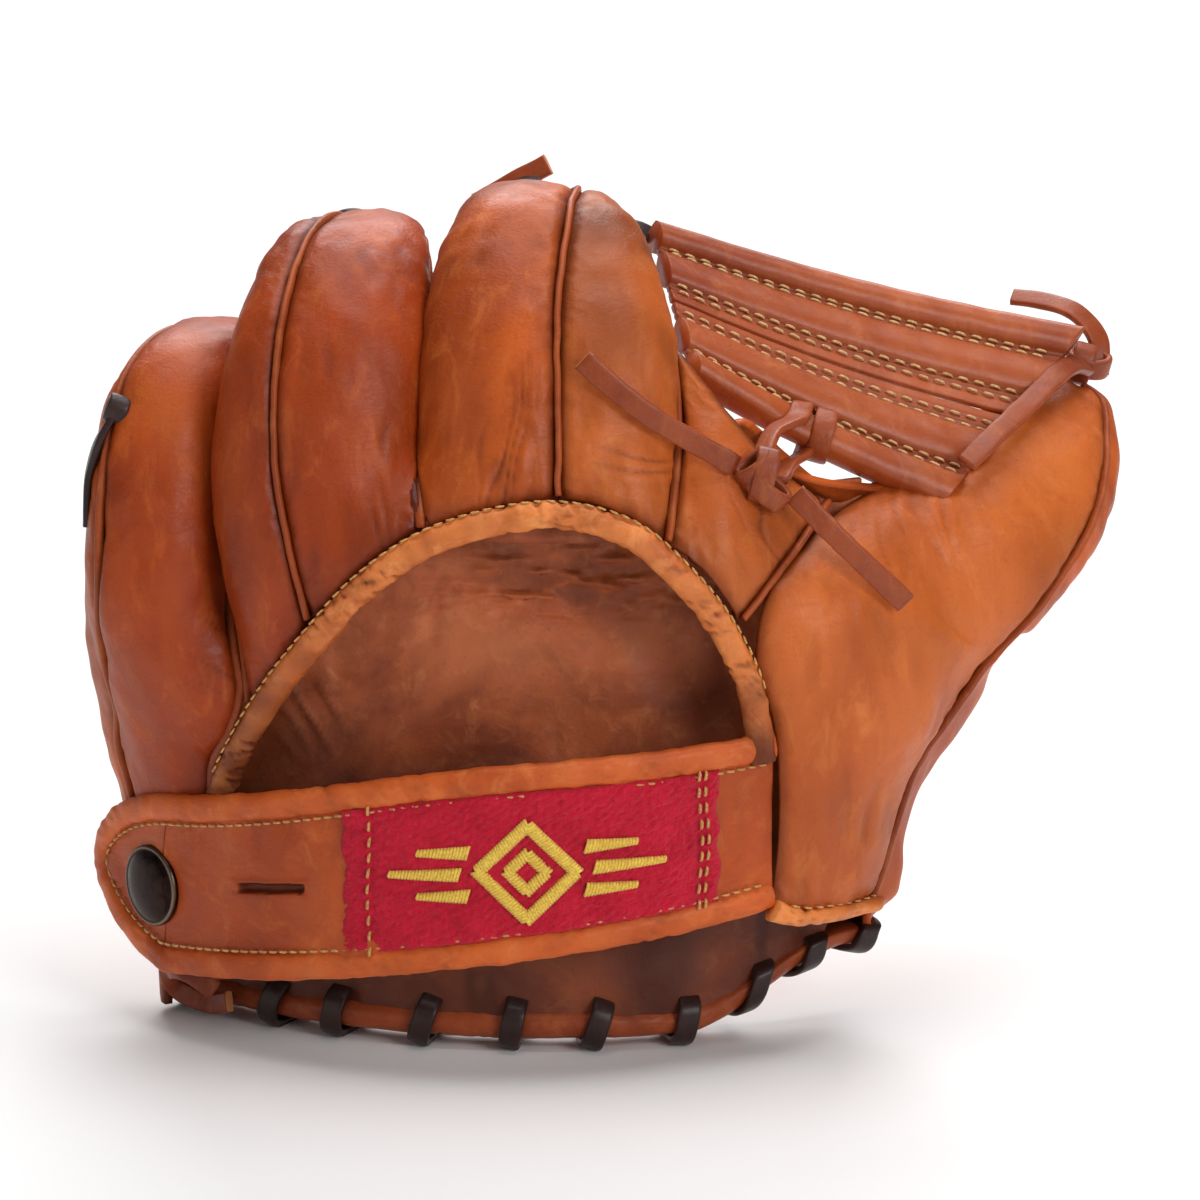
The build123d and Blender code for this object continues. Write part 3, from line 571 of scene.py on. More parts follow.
def softbox(name, place, size, power, target=AIM):
    """Square area light that faces the middle of the glove or another target."""
    light = bpy.data.lights.new(name, "AREA")
    light.size = size
    light.energy = power
    holder = bpy.data.objects.new(name, light)
    holder.location = place
    holder.rotation_euler = (target - Vector(place)).to_track_quat("-Z", "Y").to_euler()
    bpy.context.scene.collection.objects.link(holder)


softbox("top_light", (0.15, 0.1, 1.3), 1.0, 13)
softbox("right_light", (0.9, -1.3, 0.8), 0.7, 12)
softbox("left_light", (-1.1, -1.0, 0.5), 0.9, 2)
softbox("back_light", (0, 2.6, 1.9), 1.8, 60, Vector((0, 1.4, 0)))

world = bpy.data.worlds.new("studio")
world.use_nodes = True
world.node_tree.nodes["Background"].inputs[0].default_value = (1, 1, 1, 1)
world.node_tree.nodes["Background"].inputs[1].default_value = 0.16
bpy.context.scene.world = world
bpy.context.scene.view_settings.view_transform = "Standard"


def floor():
    """Pale floor, wide enough to fill the view from any side."""
    side = np.linspace(-12000, 12000, 13)
    points = [(x, y, 0) for y in side for x in side]
    made, tree, shader, place = start_material("pale_floor")
    tone = noise(tree, place, 3, 2)
    tone = mixed(tree, tone, colour(0.90, 0.90, 0.90), colour(0.93, 0.93, 0.93))
    tree.links.new(tone, shader.inputs["Base Color"])
    shader.inputs["Roughness"].default_value = 0.8
    mesh_piece("floor", points, quads(len(side), len(side)), made)


floor()


# ------------------------------------------------------------ free tails of the web's lace

WEB_TAILS = {
    "web_tail_upper": [(39, -15, 177), (25, -18, 186), (9, -22, 197), (-5, -20, 210)],
    "web_tail_lower": [(56, -14, 168.5), (66, -16, 158), (77.5, -15, 146.5), (88, -11, 135)],
}


def route_line(name, route):
    """Points along the smooth line that a free lace follows, in millimetres."""
    curve = bpy.data.curves.new(name, "CURVE")
    curve.dimensions = "3D"
    spline = curve.splines.new("NURBS")
    spline.points.add(len(route) - 1)
    for point, place in zip(spline.points, route):
        point.co = (*[value * MM for value in place], 1)
    spline.order_u = 3
    spline.use_endpoint_u = True
    holder = bpy.data.objects.new(name, curve)
    traced = bpy.data.meshes.new_from_object(holder)
    points = np.array([corner.co for corner in traced.vertices]) / MM
    bpy.data.objects.remove(holder)
    bpy.data.curves.remove(curve)
    bpy.data.meshes.remove(traced)
    return points


def lace_data(path, facing, width=LACE_WIDTH, thickness=LACE_THICKNESS, closed=False):
    """Flat lace with slightly uneven edges along a path."""
    path = np.asarray(path, float)
    uneven = 1 + 0.035 * waves(path, 9, 5)
    return band_data(
        path, facing, width * uneven, thickness * uneven, closed=closed, squareness=0.42, columns=20
    )


def lace(name, path, facing, material, width=LACE_WIDTH, thickness=LACE_THICKNESS):
    """Lace object with pale cut ends."""
    points, faces = lace_data(path, facing, width, thickness)
    made = mesh_piece(name, points, faces, material, np.zeros(len(points)))
    made.data.materials.append(RAW_EDGE)
    for face in list(made.data.polygons)[-2:]:
        face.material_index = 1
        face.use_smooth = False
    return made


for name, route in WEB_TAILS.items():
    path = route_line(name, route)
    tail = lace(name, path, (0, -1, 0.15), RED_LACE)
    placed(tail, "hand", "lace_leather", name)


# ------------------------------------------------------------ sections of the glove


def arc_points(left, middle, right, shares, depth=0.0):
    """Points on the arc through three points, moved towards its centre by a depth."""
    (ax, ay), (bx, by), (cx, cy) = left, middle, right
    area = 2 * (ax * (by - cy) + bx * (cy - ay) + cx * (ay - by))
    a2, b2, c2 = ax * ax + ay * ay, bx * bx + by * by, cx * cx + cy * cy
    x = (a2 * (by - cy) + b2 * (cy - ay) + c2 * (ay - by)) / area
    y = (a2 * (cx - bx) + b2 * (ax - cx) + c2 * (bx - ax)) / area
    start, end = atan2(ay - y, ax - x), atan2(cy - y, cx - x)
    angles = start + ((end - start + pi) % (2 * pi) - pi) * np.asarray(shares, float)
    radius = hypot(ax - x, ay - y) - depth
    return np.stack([x + radius * np.cos(angles), y + radius * np.sin(angles)], axis=1)


def level_row(left, middle, right, height, start=0.0, end=1.0, depth=0.0, count=9):
    """Row of points along a level arc."""
    points = arc_points(left, middle, right, np.linspace(start, end, count), depth)
    return np.column_stack([points, np.full(count, float(height))])


def palm_row(height, start, end, depth, count=9):
    """Row across the palm at a height, this deep under its hand side."""
    heights = [arc[0] for arc in PALM_ARCS]
    corners = np.array([arc[1:] for arc in PALM_ARCS], float)
    left, middle, right = curve_at(heights, corners, [height])[0]
    return level_row(left, middle, right, height, start, end, depth, count)


def finger_axes(stations):
    """Each station's position, its across and inward directions, and its sizes."""
    across = np.array((1.0, 0, 0))
    axes = []
    for position, lean, *sizes in stations:
        inward = np.array((0, cos(radians(lean)), -sin(radians(lean))))
        axes.append((np.array(position, float), across, inward, sizes))
    return axes


def thumb_axes(stations):
    """The same for the thumb, whose across direction is square to its middle line."""
    middles = [np.array(position, float) for position, *sizes in stations]
    before = 2 * middles[0] - middles[1]
    line_points = [before, *middles, 2 * middles[-1] - middles[-2]]
    axes = []
    for n, (position, *sizes) in enumerate(stations):
        along = line_points[n + 2] - line_points[n]
        along /= np.linalg.norm(along)
        across = np.array((along[2], 0, -along[0]))
        across /= np.linalg.norm(across)
        axes.append((middles[n], across, np.cross(along, across), sizes))
    return axes


def oval(station, angles, plump=0.88):
    """Points round a stall: angle 0 is the middle of its back and 90 its thumb side."""
    position, across, inward, (width, back, front) = station
    turned = np.radians(angles)
    wide = powered(np.sin(turned), plump) * width
    deep = np.abs(np.cos(turned)) ** plump * np.where(np.cos(turned) > 0, -back, front)
    return position + wide[:, None] * across + deep[:, None] * inward


def closed_tip(axes, reach, share=0.55):
    """The stations with one more, where the tip closes."""
    position, across, inward, (width, *_) = axes[-1]
    along = np.cross(across, inward)
    return [*axes, (position + along * reach, across, inward, (width * share, 1.4, 1.4))]


PINKY_AXES = closed_tip(finger_axes(PINKY), 4)
MIDDLE_AXES = closed_tip(finger_axes(MIDDLE), 4)
INDEX_AXES = closed_tip(finger_axes(INDEX), 4)
THUMB_AXES = closed_tip(thumb_axes(THUMB), 4)

opening_line = line(OPENING, 240)


def opening_height(x):
    """Height of the opening's edge at an x."""
    return np.interp(x, opening_line[:, 0], opening_line[:, 2])


def above_opening(grid):
    """The part of a back panel above the opening, with its first ring on the edge."""
    rings = grid.shape[0]
    trimmed = np.empty_like(grid)
    for j in range(grid.shape[1]):
        column = grid[:, j]
        over = column[:, 2] - opening_height(column[:, 0])
        last = int(np.max(np.nonzero(over < 0)[0], initial=-1))
        if last >= 0:
            share = over[last] / (over[last] - over[last + 1])
            first = column[last] + (column[last + 1] - column[last]) * share
            column = np.concatenate([[first], column[last + 1:]])
        trimmed[:, j] = even(column, rings)
    return trimmed


def met_edge(grid, reach=24.0):
    """The panel eased in depth so that its first ring lies on the opening's line."""
    depth = np.interp(grid[0, :, 0], opening_line[:, 0], opening_line[:, 1])
    apart = np.clip(1 - edge_distances(grid)[0] / reach, 0, 1)
    eased = grid.copy()
    eased[:, :, 1] += (depth - grid[0, :, 1]) * apart**2 * (3 - 2 * apart)
    return eased


# How strongly a panel is drawn in at its first and last ring and its first and last column
NO_SEAMS = (0, 0, 0, 0)
FINGER_SEAMS = (0.5, 0, 1, 1)
PANEL_THICKNESS = 2.4


def stitched_panel(name, grid, outward, material, seed, seams, relief=None, tone=None, puff=1.0):
    """Leather panel that swells between its seams and rolls in along them."""
    out = normals(grid, outward)
    lift = 0.55 * waves(grid, 42, seed) + 0.18 * waves(grid, 13, seed + 1)
    streaks = waves(grid * (1, 1, 0.22), 8, seed + 2) * np.clip(waves(grid, 34, seed + 3), 0, 1)
    lift += 0.22 * streaks
    shade = 0.14 * waves(grid * (1, 1, 0.4), 26, seed + 5) - 0.2 * np.clip(-streaks, 0, 1)
    for seam, distance in zip(seams, edge_distances(grid)):
        if seam:
            fall = np.clip(1 - distance / 5.0, 0, 1)
            lift -= 2.6 * seam * fall**2
            pull = np.clip(1 - distance / 14.0, 0, 1)
            lift -= 0.25 * pull * np.abs(waves(grid, 7, seed + 4))
            # Painted shade in the seam's crease, where the panel rolls in, and a little over the puckered
            # strip beside it.
            shade -= 0.95 * seam * np.exp(-(distance / 2.4) ** 2) + 0.22 * pull
    sides = np.minimum(*edge_distances(grid)[2:])
    lift += puff * (1 - np.exp(-sides / 7.0))
    if relief is not None:
        more, darker = relief(grid)
        lift += more
        shade += darker
    if tone is not None:
        shade += tone(grid)
    lifted = grid + out * lift[:, :, None]
    return sheet(name, lifted, material, PANEL_THICKNESS, outward, np.clip(shade, -1, 1))


def welt_data(path, facing, proud=0.3, width=2.0):
    """Points and faces of a welt's rolled edge along a seam."""
    path = np.asarray(path, float)
    _, side, up = frames(path, facing)
    wobble = 0.12 * waves(path, 9, 3)[:, None]
    return band_data(path + up * (proud - 1.3) + side * wobble, facing, width, 2.9, squareness=0.8)


def hand_welt(name, row):
    """Welting along a seam of the hand, from the seam's path and the way it faces."""
    points, faces = welt_data(*row)
    placed(mesh_piece(name, points, faces, WELTING, np.full(len(points), -0.05)), "hand", "welting", name)


# ------------------------------------------------------------ backs of the fingers


def painted_light_patch(place, size, amount):
    """Tone function: a painted highlight round a place, or painted shade for a negative amount."""
    return lambda grid: amount * near(grid, place, size)


def crumple(centre, size, spacing, depth, seed, across=(1, 0, 0)):
    """Relief function: a bundle of long folds round a place, each square to the across direction."""
    across = np.array(across, float) / np.linalg.norm(across)

    def relief(grid):
        way = grid @ across
        squeezed = 0.25 * grid + 0.75 * way[..., None] * across
        place = near(grid, centre, size)
        share = place * np.clip(0.6 + waves(squeezed, 2.4 * spacing, seed + 1), 0, 1)
        folds = (way + 0.5 * spacing * waves(squeezed, 2.2 * spacing, seed)) / spacing
        valleys = 1 - np.abs(np.sin(pi * folds))
        # Painted shade along the fold valleys, and over the whole patch a little.
        return share * depth * (0.5 - valleys), -0.6 * share * valleys**2 - 0.22 * place

    return relief


def stall_back(axes, splits, side, base=()):
    """Rows across one half of a stall's back, either side of its centre seam."""
    rows = []
    for (left, middle, right, height), split in zip(base, splits):
        share = (split + 90) / 180
        start, end = (0, share) if side < 0 else (share, 1)
        rows.append(level_row(left, middle, right, height, start, end))
    for station, split in zip(axes, splits[len(base):]):
        start, end = (-90, split) if side < 0 else (split, 90)
        rows.append(oval(station, np.linspace(start, end, 9)))
    return rows


MIDDLE_BASE = [
    ((-102, -8), (-79, -27), (-52.5, -22), 100),
    ((-104, -6), (-79, -27), (-52, -12), 121),
]
MIDDLE_SPLITS = (-2, -4, -12, -22, -27, -25, -20, -20)
INDEX_SPLITS = (1, 2, 4, 14, 34, 50)
INDEX_ENDS = (52, 72, 90, 90, 90, 90)

middle_outer = met_edge(above_opening(loft(stall_back(MIDDLE_AXES, MIDDLE_SPLITS, -1, MIDDLE_BASE), 170, 50)))
middle_inner = met_edge(above_opening(loft(stall_back(MIDDLE_AXES, MIDDLE_SPLITS, 1, MIDDLE_BASE), 170, 60)))
index_outer = met_edge(above_opening(loft(stall_back(INDEX_AXES, INDEX_SPLITS, -1), 170, 64)))
inner_rows = [
    oval(station, np.linspace(split, end, 9))
    for station, split, end in zip(INDEX_AXES, INDEX_SPLITS, INDEX_ENDS)
]
index_inner = met_edge(above_opening(loft(inner_rows, 170, 64)))

pinky_rows = [
    level_row((-130.2, 24), (-119, 9), (-108, -3), 18),
    level_row((-130.2, 24), (-119.5, 8.7), (-109, -3), 36),
    level_row((-134, 25), (-121, 8), (-110.5, -2.5), 54),
    level_row((-138.5, 24), (-123, 6), (-112, -2), 72),
    level_row((-141, 22.5), (-124, 4), (-111.5, -2), 83),
    level_row((-141, 18), (-125, -1), (-107, -7.5), 94),
    level_row((-143.5, 12), (-127, -6.5), (-103.5, -9.5), 106),
    level_row((-145.5, 5), (-128.5, -10), (-105, -5), 121),
]
PINKY_LEFT = -54
pinky_rows += [oval(station, np.linspace(PINKY_LEFT, 90, 9)) for station in PINKY_AXES]
pinky_back = loft(pinky_rows, 230, 76)

for name, grid, material, seed, seams, relief, tone, puff in (
    ("middle_back_outer", middle_outer, TAN_DARK, 11, FINGER_SEAMS, None, None, 1.0),
    (
        "middle_back_inner", middle_inner, TAN_DARK, 23, FINGER_SEAMS,
        crumple((-61, -22, 176), (11, 30, 34), 4.0, 1.0, 5, (1, 0, 0.2)),
        painted_light_patch((-66, 20, 232), (30, 40, 24), -0.15), 1.0,
    ),
    (
        "index_back_outer", index_outer, TAN, 37, FINGER_SEAMS,
        crumple((-29, -24, 192), (15, 34, 44), 3.6, 1.1, 8, (1, 0, -0.18)),
        painted_light_patch((-24, 20, 240), (34, 40, 24), -0.22), 1.6,
    ),
    (
        "index_back_inner", index_inner, TAN_THUMB, 41, FINGER_SEAMS,
        crumple((12, -20, 178), (18, 30, 22), 6, 0.5, 9, (0.25, 0, 1)),
        painted_light_patch((4, 20, 230), (36, 60, 46), -0.62), 1.0,
    ),
    (
        "pinky_back", pinky_back, TAN_DARK, 53, (0, 0, 1, 1),
        crumple((-110, -6, 122), (13, 30, 28), 3.4, 0.6, 12, (0.45, 0, 1)),
        painted_light_patch((-126, 8, 190), (24, 30, 18), 0.4), 1.0,
    ),
):
    panel = stitched_panel(name, grid, BACK, material, seed, seams, relief, tone, puff)
    placed(panel, "hand", "tan_leather", name)


def seam(grid, column, outward):
    """A seam's path along one column of a panel, and the way it faces."""
    return grid[2:-1, column], normals(grid, outward)[2:-1, column]


def side_seam(grid, column, way):
    """A seam between a stall's back and front, facing mostly sideways."""
    path = grid[2:-1, column]
    return path, normals(grid, BACK)[2:-1, column] + np.array((1.2 * way, 0, 0))


for name, row in (
    ("pinky_welt_outer", side_seam(pinky_back, 0, -0.4)),
    ("pinky_welt_inner", side_seam(pinky_back, -1, 1)),
    ("middle_welt_outer", side_seam(middle_outer, 0, -1)),
    ("middle_welt_inner", side_seam(middle_inner, -1, 1)),
    ("middle_welt_centre", seam(middle_outer, -1, BACK)),
    ("index_welt_outer", side_seam(index_outer, 0, -1)),
    ("index_welt_inner", seam(index_inner, -1, BACK)),
    ("index_welt_centre", seam(index_outer, -1, BACK)),
):
    hand_welt(name, row)


# ------------------------------------------------------------ thumb, gusset and palm

# The thumb's outer seam, from the heel up to its stall
THUMB_SEAM = [
    (79, 8, 33),
    (87, 9, 63),
    (93, 11, 80),
    (101, 14, 91),
    (107, 17, 99),
    (112, 21, 105.5),
]
THUMB_RIGHT = 48
thumb_rows = [
    [(50, -25, 45), (58, -20, 41), (66, -12, 38), (73, -2, 35), THUMB_SEAM[0]],
    [(52, -24, 62), (61, -20, 61), (70, -13, 60), (79, -4, 61), THUMB_SEAM[1]],
    [(52, -24, 82), (63, -21, 80), (74, -14, 80), (84, -4, 80), THUMB_SEAM[2]],
    [(50.5, -24, 102), (65, -20, 101), (79, -13, 99), (92, -3, 96), THUMB_SEAM[3]],
    [(45, -25, 121), (64, -21, 119), (83, -12, 114), (98, 0, 107), THUMB_SEAM[4]],
    [(50, -18, 143), (69, -15, 137), (88, -7, 128), (103, 5, 117), THUMB_SEAM[5]],
    [(79.6, 25, 160.8), (88, 13, 154), (99, 8, 133), (108, 12, 119), (119.5, 25, 113)],
]
thumb_rows += [oval(station, np.linspace(-90, THUMB_RIGHT, 9)) for station in THUMB_AXES[1:]]
thumb_back = loft(thumb_rows, 250, 96)

fold = next(joint for joint in frame["record"]["behaviour"]["joints"] if joint["name"] == "thumb_fold")
fold_axis = np.array(fold["axis"])
fold_across = np.cross((0, 1, 0), fold_axis)
fold_across /= np.linalg.norm(fold_across)


def bends_with_thumb(piece, slot, *nodes):
    """Bake a finished piece's placement into its mesh, in place of its CAD nodes."""
    if nodes:
        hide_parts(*nodes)
    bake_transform(piece)
    return piece


bends_with_thumb(
    stitched_panel(
        "thumb_back", thumb_back, BACK, TAN_THUMB, 61, (0.3, 0, 0.6, 1),
        crumple((92, 8, 150), (22, 34, 17), 4.0, 1.0, 14, (1, 0, 0.35)), None, 0.5,
    ),
    "tan_leather", "thumb_back", "thumb_side_panel",
)

gusset_rows = [
    [index_inner[2, -1], (30, -27, 149), (41, -25, 133)],
    [index_inner[30, -1], (36, -22, 159), (50, -18, 143.5)],
    [index_inner[54, -1], (40, -13, 171), (59, -6, 152.5)],
    [index_inner[76, -1], (42, -2, 184.5), (54.5, 2, 170), (67, 14, 159)],
]
gusset = loft(gusset_rows, 80, 60)
placed(
    stitched_panel(
        "crotch_gusset", gusset, BACK, TAN_THUMB, 71, (0.4, 0.8, 1, 1),
        crumple((46, -12, 160), (14, 30, 18), 4.4, 0.6, 15, (1, 0, 0.6)),
    ),
    "hand", "tan_leather", "crotch_gusset",
)
hand_welt("gusset_welt", seam(gusset, -1, BACK))
outer_path, outer_facing = seam(thumb_back, -1, BACK)
inner_path, inner_facing = seam(thumb_back, 0, BACK)
INNER_START = 135
for name, path, facing in (
    ("thumb_welt_outer", outer_path, outer_facing + np.array((0.6, 0, 0))),
    ("thumb_welt_inner", inner_path[INNER_START:], inner_facing[INNER_START:] + np.array((-0.8, 0, 0.8))),
):
    points, faces = welt_data(path, facing)
    bends_with_thumb(mesh_piece(name, points, faces, WELTING, np.zeros(len(points))), "welting", name)

# Where each part of the palm starts, as shares of its arc from the pinky side
PINKY_SHARE, MIDDLE_SHARE, INDEX_SHARE = 0.155, 0.385, 0.70
PALM_HEIGHTS = (3, 22, 40, 60, 80, 100, 116)


def pocket(height, share):
    """A single point of the palm's pocket side."""
    return palm_row(height, share, share, SHELL_END, 1)[0]


def stall_front(axes, start, end):
    """Rows of a stall's front: level with the palm at first, then round to the side seams."""
    level = [palm_row(height, start, end, SHELL_END) for height in (130, 142)]
    sides = np.linspace(270, 90, 12)
    meeting = 0.12 * oval(axes[0], sides) + 0.88 * oval(axes[1], sides)
    return [*level, meeting, *[oval(station, sides) for station in axes[2:]]]


pinky_front = []
for height in PALM_HEIGHTS:
    side = pinky_back[:, 0]
    seam_point = side[np.argmin(np.abs(side[:, 2] - max(height, 18)))] * (1, 1, 0) + (0, 0, height)
    corner = (seam_point + pocket(height, 0)) / 2 + (-7.5, 0, 0)
    shares = np.linspace(0.035, PINKY_SHARE, 5)
    pinky_front.append([seam_point, corner, *[pocket(height, share) for share in shares]])
pinky_front += [oval(station, np.linspace(360 + PINKY_LEFT, 90, 12)) for station in PINKY_AXES]
middle_front = [palm_row(h, PINKY_SHARE, MIDDLE_SHARE, SHELL_END) for h in PALM_HEIGHTS]
middle_front += stall_front(MIDDLE_AXES, PINKY_SHARE, MIDDLE_SHARE)
index_front = [palm_row(h, MIDDLE_SHARE, INDEX_SHARE, SHELL_END) for h in PALM_HEIGHTS]
index_front += stall_front(INDEX_AXES, MIDDLE_SHARE, INDEX_SHARE)

thumb_front = [
    [pocket(3, INDEX_SHARE), pocket(3, 0.85), pocket(3, 1.0), (80, 16, 3)],
    [pocket(33, INDEX_SHARE), pocket(33, 0.85), pocket(33, 0.98), (86, 18, 33), THUMB_SEAM[0]],
    [pocket(60, INDEX_SHARE), pocket(60, 0.85), pocket(60, 0.98), (91, 21, 62), THUMB_SEAM[1]],
    [pocket(82, INDEX_SHARE), pocket(82, 0.84), pocket(82, 0.96), (98, 25, 78), THUMB_SEAM[2]],
    [pocket(100, INDEX_SHARE), (62, 24, 98), (88, 34, 94), (106, 30, 88), THUMB_SEAM[3]],
    [pocket(116, INDEX_SHARE), (64, 24, 114), (92, 36, 106), (111, 33, 96), THUMB_SEAM[4]],
    [pocket(142, INDEX_SHARE), (58, 24, 137), (90, 37, 120), (114, 36, 104), THUMB_SEAM[5]],
    [(24.5, 1, 176), (58, 22, 152), (92, 38, 129), (116, 39, 106.5), (114.5, 22, 108)],
    [(40, 4, 186), (62, 20, 162), (94, 39, 134), (118, 41, 109), (117, 23.5, 110.5)],
    [(54, 8, 171), (70, 22, 157), (96, 42, 138), (121, 43.5, 111.5), (119.5, 25, 113)],
]
thumb_front += [oval(station, np.linspace(270, THUMB_RIGHT, 12)) for station in THUMB_AXES[1:]]

for name, rows, columns, seams, seed in (
    ("palm_pinky", pinky_front, 60, (0, 0, 1, 0), 81),
    ("palm_middle", middle_front, 60, NO_SEAMS, 83),
    ("palm_index", index_front, 70, NO_SEAMS, 85),
):
    front = stitched_panel(name, loft(rows, 200, columns), FRONT, TAN, seed, seams, None, None, 0)
    placed(front, "hand", "tan_leather", "palm_shell")
front = stitched_panel("palm_thumb", loft(thumb_front, 220, 90), FRONT, TAN, 87, NO_SEAMS, None, None, 0)
bends_with_thumb(front, "tan_leather", "thumb_front")


# ------------------------------------------------------------ linings and padding


def lining_painted_light(grid):
    """Painted highlight in the middle of the palm, painted shade low on the pinky side, and painted shadow of
    the strap towards the bottom.
    """
    palm_highlight = near(grid, (-12, 0, 118), (60, 60, 14))
    low = np.clip((96 - grid[..., 2]) / 34, 0, 1)
    return 0.35 * palm_highlight - 0.4 * near(grid, (-90, 10, 92), (26, 60, 26)) - 0.85 * low


def lining_relief(grid):
    """Crinkles across the base of the fingers, and folds towards the pinky side."""
    band_share = near(grid, (-8, 5, 136), (42, 60, 12))
    crinkle = waves(grid * (0.35, 1, 1), 5, 31) - np.abs(waves(grid * (0.3, 1, 1), 7, 32))
    crinkle += 0.5 * waves(grid * (0.5, 1, 1), 2.6, 34)
    folds = near(grid, (-84, 5, 100), (16, 60, 20))
    slanted = np.abs(waves(grid @ np.array([[0.8, 0, 0.1], [0, 1, 0], [0.6, 0, 0.2]]), 8, 33))
    hollow = near(grid, (-20, 0, 100), (70, 60, 20))
    lift = 2.0 * band_share * crinkle + 1.4 * folds * (0.5 - slanted) + 1.0 * hollow
    # Painted shade in the valleys of the crinkles and folds.
    darker = -0.45 * band_share * np.clip(-crinkle, 0, 1) - 0.3 * folds * (slanted < 0.25)
    return np.clip(lift, -0.5, 2.4), darker


lining_rows = [palm_row(height, 0.0, 0.93, 0.4) for height in (5, 22, 40, 60, 80, 100, 120, 138)]
for height, back in ((150, 0.5), (163, 2)):
    lining_rows.append(palm_row(141, 0.02, 0.93, 0.4) + np.array((0, back, height - 141)))
lining = loft(lining_rows, 260, 200)
placed(
    stitched_panel("palm_lining", lining, BACK, HAND_LINING, 91, NO_SEAMS, lining_relief, lining_painted_light, 0),
    "hand", "lining_leather", "palm_lining",
)


def sleeve(name, axes, body, first):
    """Lining inside a stall, from a share of the stall's length up."""
    inside = []
    for position, across, inward, (width, back, front) in axes[:-2]:
        inside.append((position, across, inward, (width - 5, back - 5, front - 5)))
    rows = [oval(station, np.linspace(0, 360, 15)) for station in inside]
    grid = loft(rows, 50, 60)[int(50 * first):, :-1]
    out = normals(np.concatenate([grid, grid[:, :1]], axis=1), (0, 0, 1))[:, :-1]
    middle = grid.mean(axis=1, keepdims=True)
    out *= np.sign(((grid - middle) * out).sum(axis=2).mean())
    grid = grid + out * (0.5 * waves(grid, 12, 7))[:, :, None]
    rings, columns = grid.shape[:2]
    points = np.concatenate([grid.reshape(-1, 3), (grid - out * LINING).reshape(-1, 3)])
    size = rings * columns
    faces = quads(rings, columns, 0, wrap=True) + quads(rings, columns, size, wrap=True, flip=True)
    for j in range(columns):
        k = (j + 1) % columns
        faces.append([k, j, size + j, size + k])
        faces.append([size - columns + j, size - columns + k, 2 * size - columns + k, 2 * size - columns + j])
    # Painted shade: the whole sleeve is darker, deep inside the stall.
    made = mesh_piece(name, points, faces, HAND_LINING, np.full(2 * size, -0.3))
    return placed(made, body, "lining_leather", name)


for name, axes, body, first in (
    ("pinky_lining", PINKY_AXES, "hand", 0.12),
    ("middle_lining", MIDDLE_AXES, "hand", 0.12),
    ("index_lining", INDEX_AXES, "hand", 0.12),
    ("thumb_lining", THUMB_AXES, "thumb", 0.25),
):
    sleeve(name, axes, body, first)


PAD_SIZE = 40
PAD_DEPTH = 5.7
PAD_HALF_THICKNESS = 3.6


def heel_pad(name, start, end):
    """Felt pad between the lining and the palm: crowned, with thin rounded edges."""
    sides = np.sin(np.pi * np.linspace(0.02, 0.98, PAD_SIZE)) ** 0.35
    full = np.outer(sides, sides)
    grids = []
    for way in (-PAD_HALF_THICKNESS, PAD_HALF_THICKNESS):
        points = [
            palm_row(height, share, share, PAD_DEPTH + way * full[i, j], 1)[0]
            for i, height in enumerate(np.linspace(19, 131, PAD_SIZE))
            for j, share in enumerate(np.linspace(start, end, PAD_SIZE))
        ]
        grids.append(np.array(points).reshape(PAD_SIZE, PAD_SIZE, 3))
    made = mesh_piece(name, *shell(*grids), PADDING)
    placed(made, "hand", "felt_padding", name)


heel_pad("pinky_heel_pad", 0.05, 0.47)
heel_pad("thumb_heel_pad", 0.50, 0.90)


# ------------------------------------------------------------ rolled binding of the opening


def puckered(path, width, height, amount, spacing, seed):
    """Width and height along a binding, gathered into puckers where it turns tightly."""
    tangent = np.gradient(path, axis=0)
    tangent /= np.linalg.norm(tangent, axis=1, keepdims=True)
    at = lengths(path)
    turning = np.linalg.norm(np.gradient(tangent, axis=0), axis=1) / np.gradient(at)
    share = np.clip(turning * 16, 0.08, 1)
    gathers = waves(path, spacing, seed)
    return width * (1 + 0.5 * amount * share * gathers), height * (1 + amount * share * gathers)


# Turns a place so that gathers in a binding lie slanted across it
PUCKER_SLANT = np.array([[1, 0.3, 0], [0, 0.5, 0], [0.5, 0, 1]])


def low_tone(grid):
    """Redder and darker down the sides of the opening."""
    return -0.8 * np.clip((126 - grid[..., 2]) / 34, 0, 1)


def binding_piece(name, path, facing, width, height, seed, amount=0.16, material=None, tone=None):
    """Rolled binding along a path, as an oval roll with puckers and fine creases."""
    path = even(np.asarray(path, float), int(lengths(path)[-1] / 0.7))
    facing = even(np.asarray(facing, float), len(path)) if np.ndim(facing) > 1 else facing
    wide, high = puckered(path, width, height, amount, 5.0, seed)
    columns = 36
    points, faces = band_data(path, facing, wide, high, squareness=0.86, columns=columns)
    grid = points.reshape(len(path), columns, 3)
    middle = grid.mean(axis=1, keepdims=True)
    out = (grid - middle) / np.linalg.norm(grid - middle, axis=2, keepdims=True)
    gathers = waves(grid @ PUCKER_SLANT, 3.4, seed + 2) * np.clip(waves(grid, 22, seed + 4) + 0.35, 0, 1)
    lift = 0.18 * waves(grid, 9, seed + 1) + 2.2 * amount * (gathers - 0.5 * np.abs(gathers))
    points = (grid + out * lift[:, :, None]).reshape(-1, 3)
    # Painted shade in the pucker valleys, over a random tone.
    shade = 0.16 * waves(grid, 14, seed + 3) + 2.0 * amount * np.minimum(gathers, 0)
    shade = (shade + tone(grid) if tone else shade).ravel()
    return mesh_piece(name, points, faces, material or ROLLED, shade)


